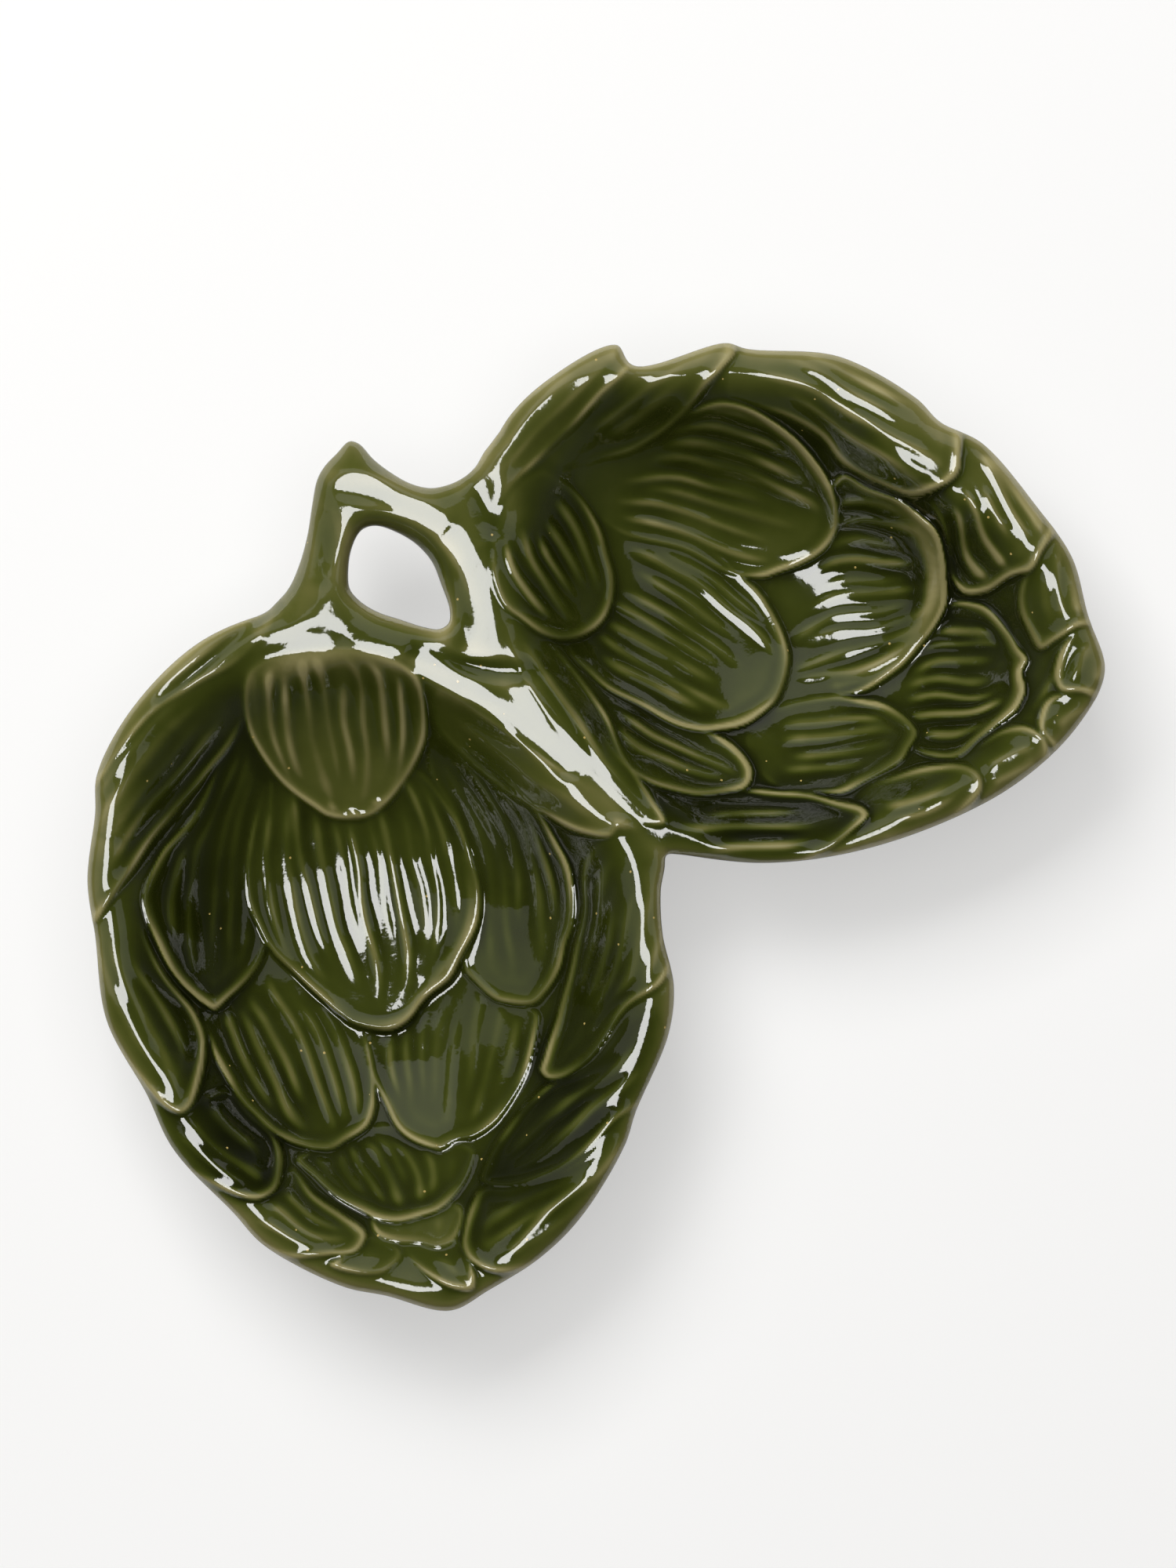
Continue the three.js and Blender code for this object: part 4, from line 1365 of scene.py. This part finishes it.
def make_foot_ring(bowl, node, material):
    """A turned ring of bare clay with rounded edges."""
    profile = foot_profile()
    across = profile[:, 0] - FOOT_WIDTH
    turn = math.radians(bowl["turn"])
    vertices = []
    for k in range(FOOT_STEPS):
        angle = 2 * math.pi * k / FOOT_STEPS
        x = (FOOT_LENGTH + across) * math.cos(angle)
        y = (FOOT_BREADTH + across) * math.sin(angle)
        vertices.append(np.c_[
            bowl["centre"][0] + x * math.cos(turn) - y * math.sin(turn),
            bowl["centre"][1] + x * math.sin(turn) + y * math.cos(turn),
            profile[:, 1],
        ])
    count = len(profile)
    triangles = []
    for k in range(FOOT_STEPS):
        here = k * count
        there = (k + 1) % FOOT_STEPS * count
        for n in range(count):
            m = (n + 1) % count
            triangles += [(here + n, there + n, there + m), (here + n, there + m, here + m)]
    made = mesh_object(f"clay_{node}", np.vstack(vertices), np.array(triangles), material)
    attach(made, "root")
    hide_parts(node)


# Finishes

# Colour of the glaze from thin to deep, which also turns the painted light and shade in the depth into
# colour
GLAZE_COLOURS = [
    (0.0, (0.29, 0.258, 0.11)),
    (0.25, (0.145, 0.137, 0.043)),
    (0.45, (0.076, 0.083, 0.016)),
    (0.62, (0.041, 0.050, 0.006)),
    (0.8, (0.017, 0.021, 0.002)),
    (1.0, (0.006, 0.0075, 0.0006)),
]
GLAZE_IOR = 1.6

# Grain of a finish: a level that runs from the least over a range
Grain = namedtuple("Grain", "scale detail least range", defaults=(0.0, 1.0))
GLAZE_CLOUDS = Grain(70, 3, -0.11, 0.22)
GLAZE_ROUGHNESS = Grain(160, 2, 0.035, 0.06)
GLAZE_PEEL = Grain(420, 2)
CLAY_GRAIN = Grain(900, 4, 0.72, 0.2)

# Strength and depth, in metres, of the bumps that a grain makes
Bumps = namedtuple("Bumps", "strength depth")
GLAZE_BUMPS = Bumps(0.35, 0.00012)
CLAY_BUMPS = Bumps(0.6, 0.0002)

# Rare ochre specks in the glaze
SPECK_SCALE = 330
SPECK_RADIUS = 0.11
SPECK_RARITY = 0.95
SPECK_COLOUR = (0.42, 0.31, 0.10, 1)

# Colour of the bare clay by its grain
CLAY_COLOURS = [(0.3, (0.50, 0.39, 0.28)), (0.7, (0.62, 0.51, 0.38))]


def new_material(name):
    material = bpy.data.materials.new(name)
    material.use_nodes = True
    nodes = material.node_tree.nodes
    return material, nodes, material.node_tree.links, nodes["Principled BSDF"]


def ramp_node(nodes, stops):
    ramp = nodes.new("ShaderNodeValToRGB")
    elements = ramp.color_ramp.elements
    while len(elements) < len(stops):
        elements.new(0.5)
    for element, (at, colour) in zip(elements, stops):
        element.position = at
        element.color = (*colour, 1)
    return ramp


def math_node(nodes, links, operation, *values):
    """Output of a sum on sockets and plain values."""
    made = nodes.new("ShaderNodeMath")
    made.operation = operation
    for socket, value in zip(made.inputs, values):
        if isinstance(value, (int, float)):
            socket.default_value = value
        else:
            links.new(value, socket)
    return made.outputs["Value"]


def grain_group():
    """Node group that both finishes share: soft noise from 0 to 1, and the level that it gives."""
    group = bpy.data.node_groups.new("grain", "ShaderNodeTree")
    group.interface.new_socket("Place", in_out="INPUT", socket_type="NodeSocketVector")
    for name in ("Scale", "Detail", "Least", "Range"):
        group.interface.new_socket(name, in_out="INPUT", socket_type="NodeSocketFloat")
    for name in ("Grain", "Level"):
        group.interface.new_socket(name, in_out="OUTPUT", socket_type="NodeSocketFloat")
    given = group.nodes.new("NodeGroupInput").outputs
    result = group.nodes.new("NodeGroupOutput").inputs
    noise = group.nodes.new("ShaderNodeTexNoise")
    group.links.new(given["Place"], noise.inputs["Vector"])
    group.links.new(given["Scale"], noise.inputs["Scale"])
    group.links.new(given["Detail"], noise.inputs["Detail"])
    grain = noise.outputs["Fac"]
    level = math_node(group.nodes, group.links, "MULTIPLY_ADD", grain, given["Range"], given["Least"])
    group.links.new(grain, result["Grain"])
    group.links.new(level, result["Level"])
    return group


GRAIN_GROUP = grain_group()


def grain_node(nodes, links, place, grain):
    """The grain group with this grain's values; returns its outputs."""
    made = nodes.new("ShaderNodeGroup")
    made.node_tree = GRAIN_GROUP
    links.new(place.outputs["Object"], made.inputs["Place"])
    for name, value in zip(("Scale", "Detail", "Least", "Range"), grain):
        made.inputs[name].default_value = value
    return made.outputs


def add_bumps(nodes, links, shader, height, bumps):
    bump = nodes.new("ShaderNodeBump")
    bump.inputs["Strength"].default_value = bumps.strength
    bump.inputs["Distance"].default_value = bumps.depth
    links.new(height, bump.inputs["Height"])
    links.new(bump.outputs["Normal"], shader.inputs["Normal"])


def specks(nodes, links, place):
    """1 on a few small dots, 0 elsewhere."""
    cells = nodes.new("ShaderNodeTexVoronoi")
    cells.inputs["Scale"].default_value = SPECK_SCALE
    links.new(place.outputs["Object"], cells.inputs["Vector"])
    dot = math_node(nodes, links, "LESS_THAN", cells.outputs["Distance"], SPECK_RADIUS)
    chance = nodes.new("ShaderNodeSeparateColor")
    links.new(cells.outputs["Color"], chance.inputs["Color"])
    rare = math_node(nodes, links, "GREATER_THAN", chance.outputs["Red"], SPECK_RARITY)
    return math_node(nodes, links, "MULTIPLY", dot, rare)


def olive_glaze():
    material, nodes, links, shader = new_material("olive_glaze")
    # The attribute holds the glaze's depth with painted shade and painted light added in.
    depth = nodes.new("ShaderNodeAttribute")
    depth.attribute_name = "glaze_depth_and_shade"
    place = nodes.new("ShaderNodeTexCoord")
    clouds = grain_node(nodes, links, place, GLAZE_CLOUDS)
    uneven = math_node(nodes, links, "ADD", depth.outputs["Fac"], clouds["Level"])
    ramp = ramp_node(nodes, GLAZE_COLOURS)
    links.new(uneven, ramp.inputs["Fac"])
    colour = nodes.new("ShaderNodeMix")
    colour.data_type = "RGBA"
    links.new(specks(nodes, links, place), colour.inputs["Factor"])
    links.new(ramp.outputs["Color"], colour.inputs["A"])
    colour.inputs["B"].default_value = SPECK_COLOUR
    links.new(colour.outputs["Result"], shader.inputs["Base Color"])
    links.new(grain_node(nodes, links, place, GLAZE_ROUGHNESS)["Level"], shader.inputs["Roughness"])
    peel = grain_node(nodes, links, place, GLAZE_PEEL)
    add_bumps(nodes, links, shader, peel["Grain"], GLAZE_BUMPS)
    shader.inputs["IOR"].default_value = GLAZE_IOR
    return material


def bare_clay():
    material, nodes, links, shader = new_material("bare_clay")
    place = nodes.new("ShaderNodeTexCoord")
    grain = grain_node(nodes, links, place, CLAY_GRAIN)
    ramp = ramp_node(nodes, CLAY_COLOURS)
    links.new(grain["Grain"], ramp.inputs["Fac"])
    links.new(ramp.outputs["Color"], shader.inputs["Base Color"])
    links.new(grain["Level"], shader.inputs["Roughness"])
    add_bumps(nodes, links, shader, grain["Grain"], CLAY_BUMPS)
    return material


# Stage, in metres

TABLE_HALF = 3.0
TABLE_COLOUR = (0.945, 0.94, 0.93, 1)
TABLE_ROUGHNESS = 0.9
TABLE_GLOW = 0.5

# Soft boxes aimed at the dish, with their power in watts: the glaze mirrors some, and others light the dish.
Softbox = namedtuple("Softbox", "name place size power")
MIRRORED_BOXES = [
    Softbox("sheen_box", (-0.34, -0.18, 1.75), (0.79, 0.72), 20),
    Softbox("far_panel", (-0.1, 1.0, 1.35), (1.6, 1.05), 3.2),
    Softbox("right_panel", (0.95, 0.15, 1.3), (0.7, 0.8), 0.8),
    Softbox("left_panel", (-1.25, 0.1, 1.2), (0.9, 1.2), 1.3),
]
LIGHTING_BOXES = [
    Softbox("far_lamp", (-0.6, 1.1, 1.6), (1.2, 0.9), 31),
    Softbox("fill_box", (-0.1, 0.3, 2.2), (2.4, 2.4), 30),
]

# Brightness of the room from the horizon up
ROOM_LEVELS = [(0.0, 0.14), (0.25, 0.05), (0.5, 0.02), (1.0, 0.02)]


def pale_table():
    """A matt white, a little brighter where the camera sees it, which keeps the shadow."""
    material, nodes, links, shader = new_material("pale_table")
    shader.inputs["Base Color"].default_value = TABLE_COLOUR
    shader.inputs["Roughness"].default_value = TABLE_ROUGHNESS
    shader.inputs["Specular IOR Level"].default_value = 0.0
    glow = nodes.new("ShaderNodeEmission")
    glow.inputs["Color"].default_value = TABLE_COLOUR
    seen = nodes.new("ShaderNodeLightPath")
    share = math_node(nodes, links, "MULTIPLY", seen.outputs["Is Camera Ray"], TABLE_GLOW)
    mix = nodes.new("ShaderNodeMixShader")
    links.new(share, mix.inputs[0])
    links.new(shader.outputs["BSDF"], mix.inputs[1])
    links.new(glow.outputs["Emission"], mix.inputs[2])
    links.new(mix.outputs["Shader"], nodes["Material Output"].inputs["Surface"])
    return material


def make_stage():
    mesh = bpy.data.meshes.new("table")
    corners = [(-1, -1), (1, -1), (1, 1), (-1, 1)]
    mesh.from_pydata([(x * TABLE_HALF, y * TABLE_HALF, 0) for x, y in corners], [], [(0, 1, 2, 3)])
    mesh.materials.append(pale_table())
    table = bpy.data.objects.new("table", mesh)
    bpy.context.scene.collection.objects.link(table)


def make_room():
    """A dim room, a little brighter towards the horizon."""
    world = bpy.data.worlds.new("studio")
    bpy.context.scene.world = world
    world.use_nodes = True
    nodes = world.node_tree.nodes
    links = world.node_tree.links
    sky = nodes.new("ShaderNodeTexCoord")
    split = nodes.new("ShaderNodeSeparateXYZ")
    room = ramp_node(nodes, [(at, (level,) * 3) for at, level in ROOM_LEVELS])
    links.new(sky.outputs["Generated"], split.inputs["Vector"])
    links.new(split.outputs["Z"], room.inputs["Fac"])
    links.new(room.outputs["Color"], nodes["Background"].inputs["Color"])
    nodes["Background"].inputs["Strength"].default_value = 1.0


def make_softbox(box):
    lamp = bpy.data.lights.new(box.name, "AREA")
    lamp.shape = "RECTANGLE"
    lamp.size, lamp.size_y = box.size
    lamp.energy = box.power
    made = bpy.data.objects.new(box.name, lamp)
    made.location = box.place
    made.rotation_euler = (-Vector(box.place)).to_track_quat("-Z", "Y").to_euler()
    bpy.context.scene.collection.objects.link(made)
    return made


def make_lights():
    """The room, boxes that only show as highlights, and boxes that light and aren't mirrored."""
    make_room()
    for box in MIRRORED_BOXES:
        make_softbox(box).visible_diffuse = False
    for box in LIGHTING_BOXES:
        make_softbox(box).visible_glossy = False


def make_camera():
    camera = bpy.data.cameras.new("camera")
    made = bpy.data.objects.new("camera", camera)
    camera.sensor_width = SENSOR_WIDTH
    camera.lens = SENSOR_WIDTH * (CAMERA_PLACE[2] - RIM_HEIGHT) / FRAME_LENGTH
    made.location = CAMERA_PLACE * MM
    bpy.context.scene.collection.objects.link(made)
    bpy.context.scene.camera = made


make_glazed_pieces(olive_glaze())
clay = bare_clay()
make_foot_ring(LEFT_BOWL, "left_foot_ring", clay)
make_foot_ring(RIGHT_BOWL, "right_foot_ring", clay)
make_stage()
make_lights()
make_camera()
bpy.context.scene.view_settings.view_transform = "Standard"
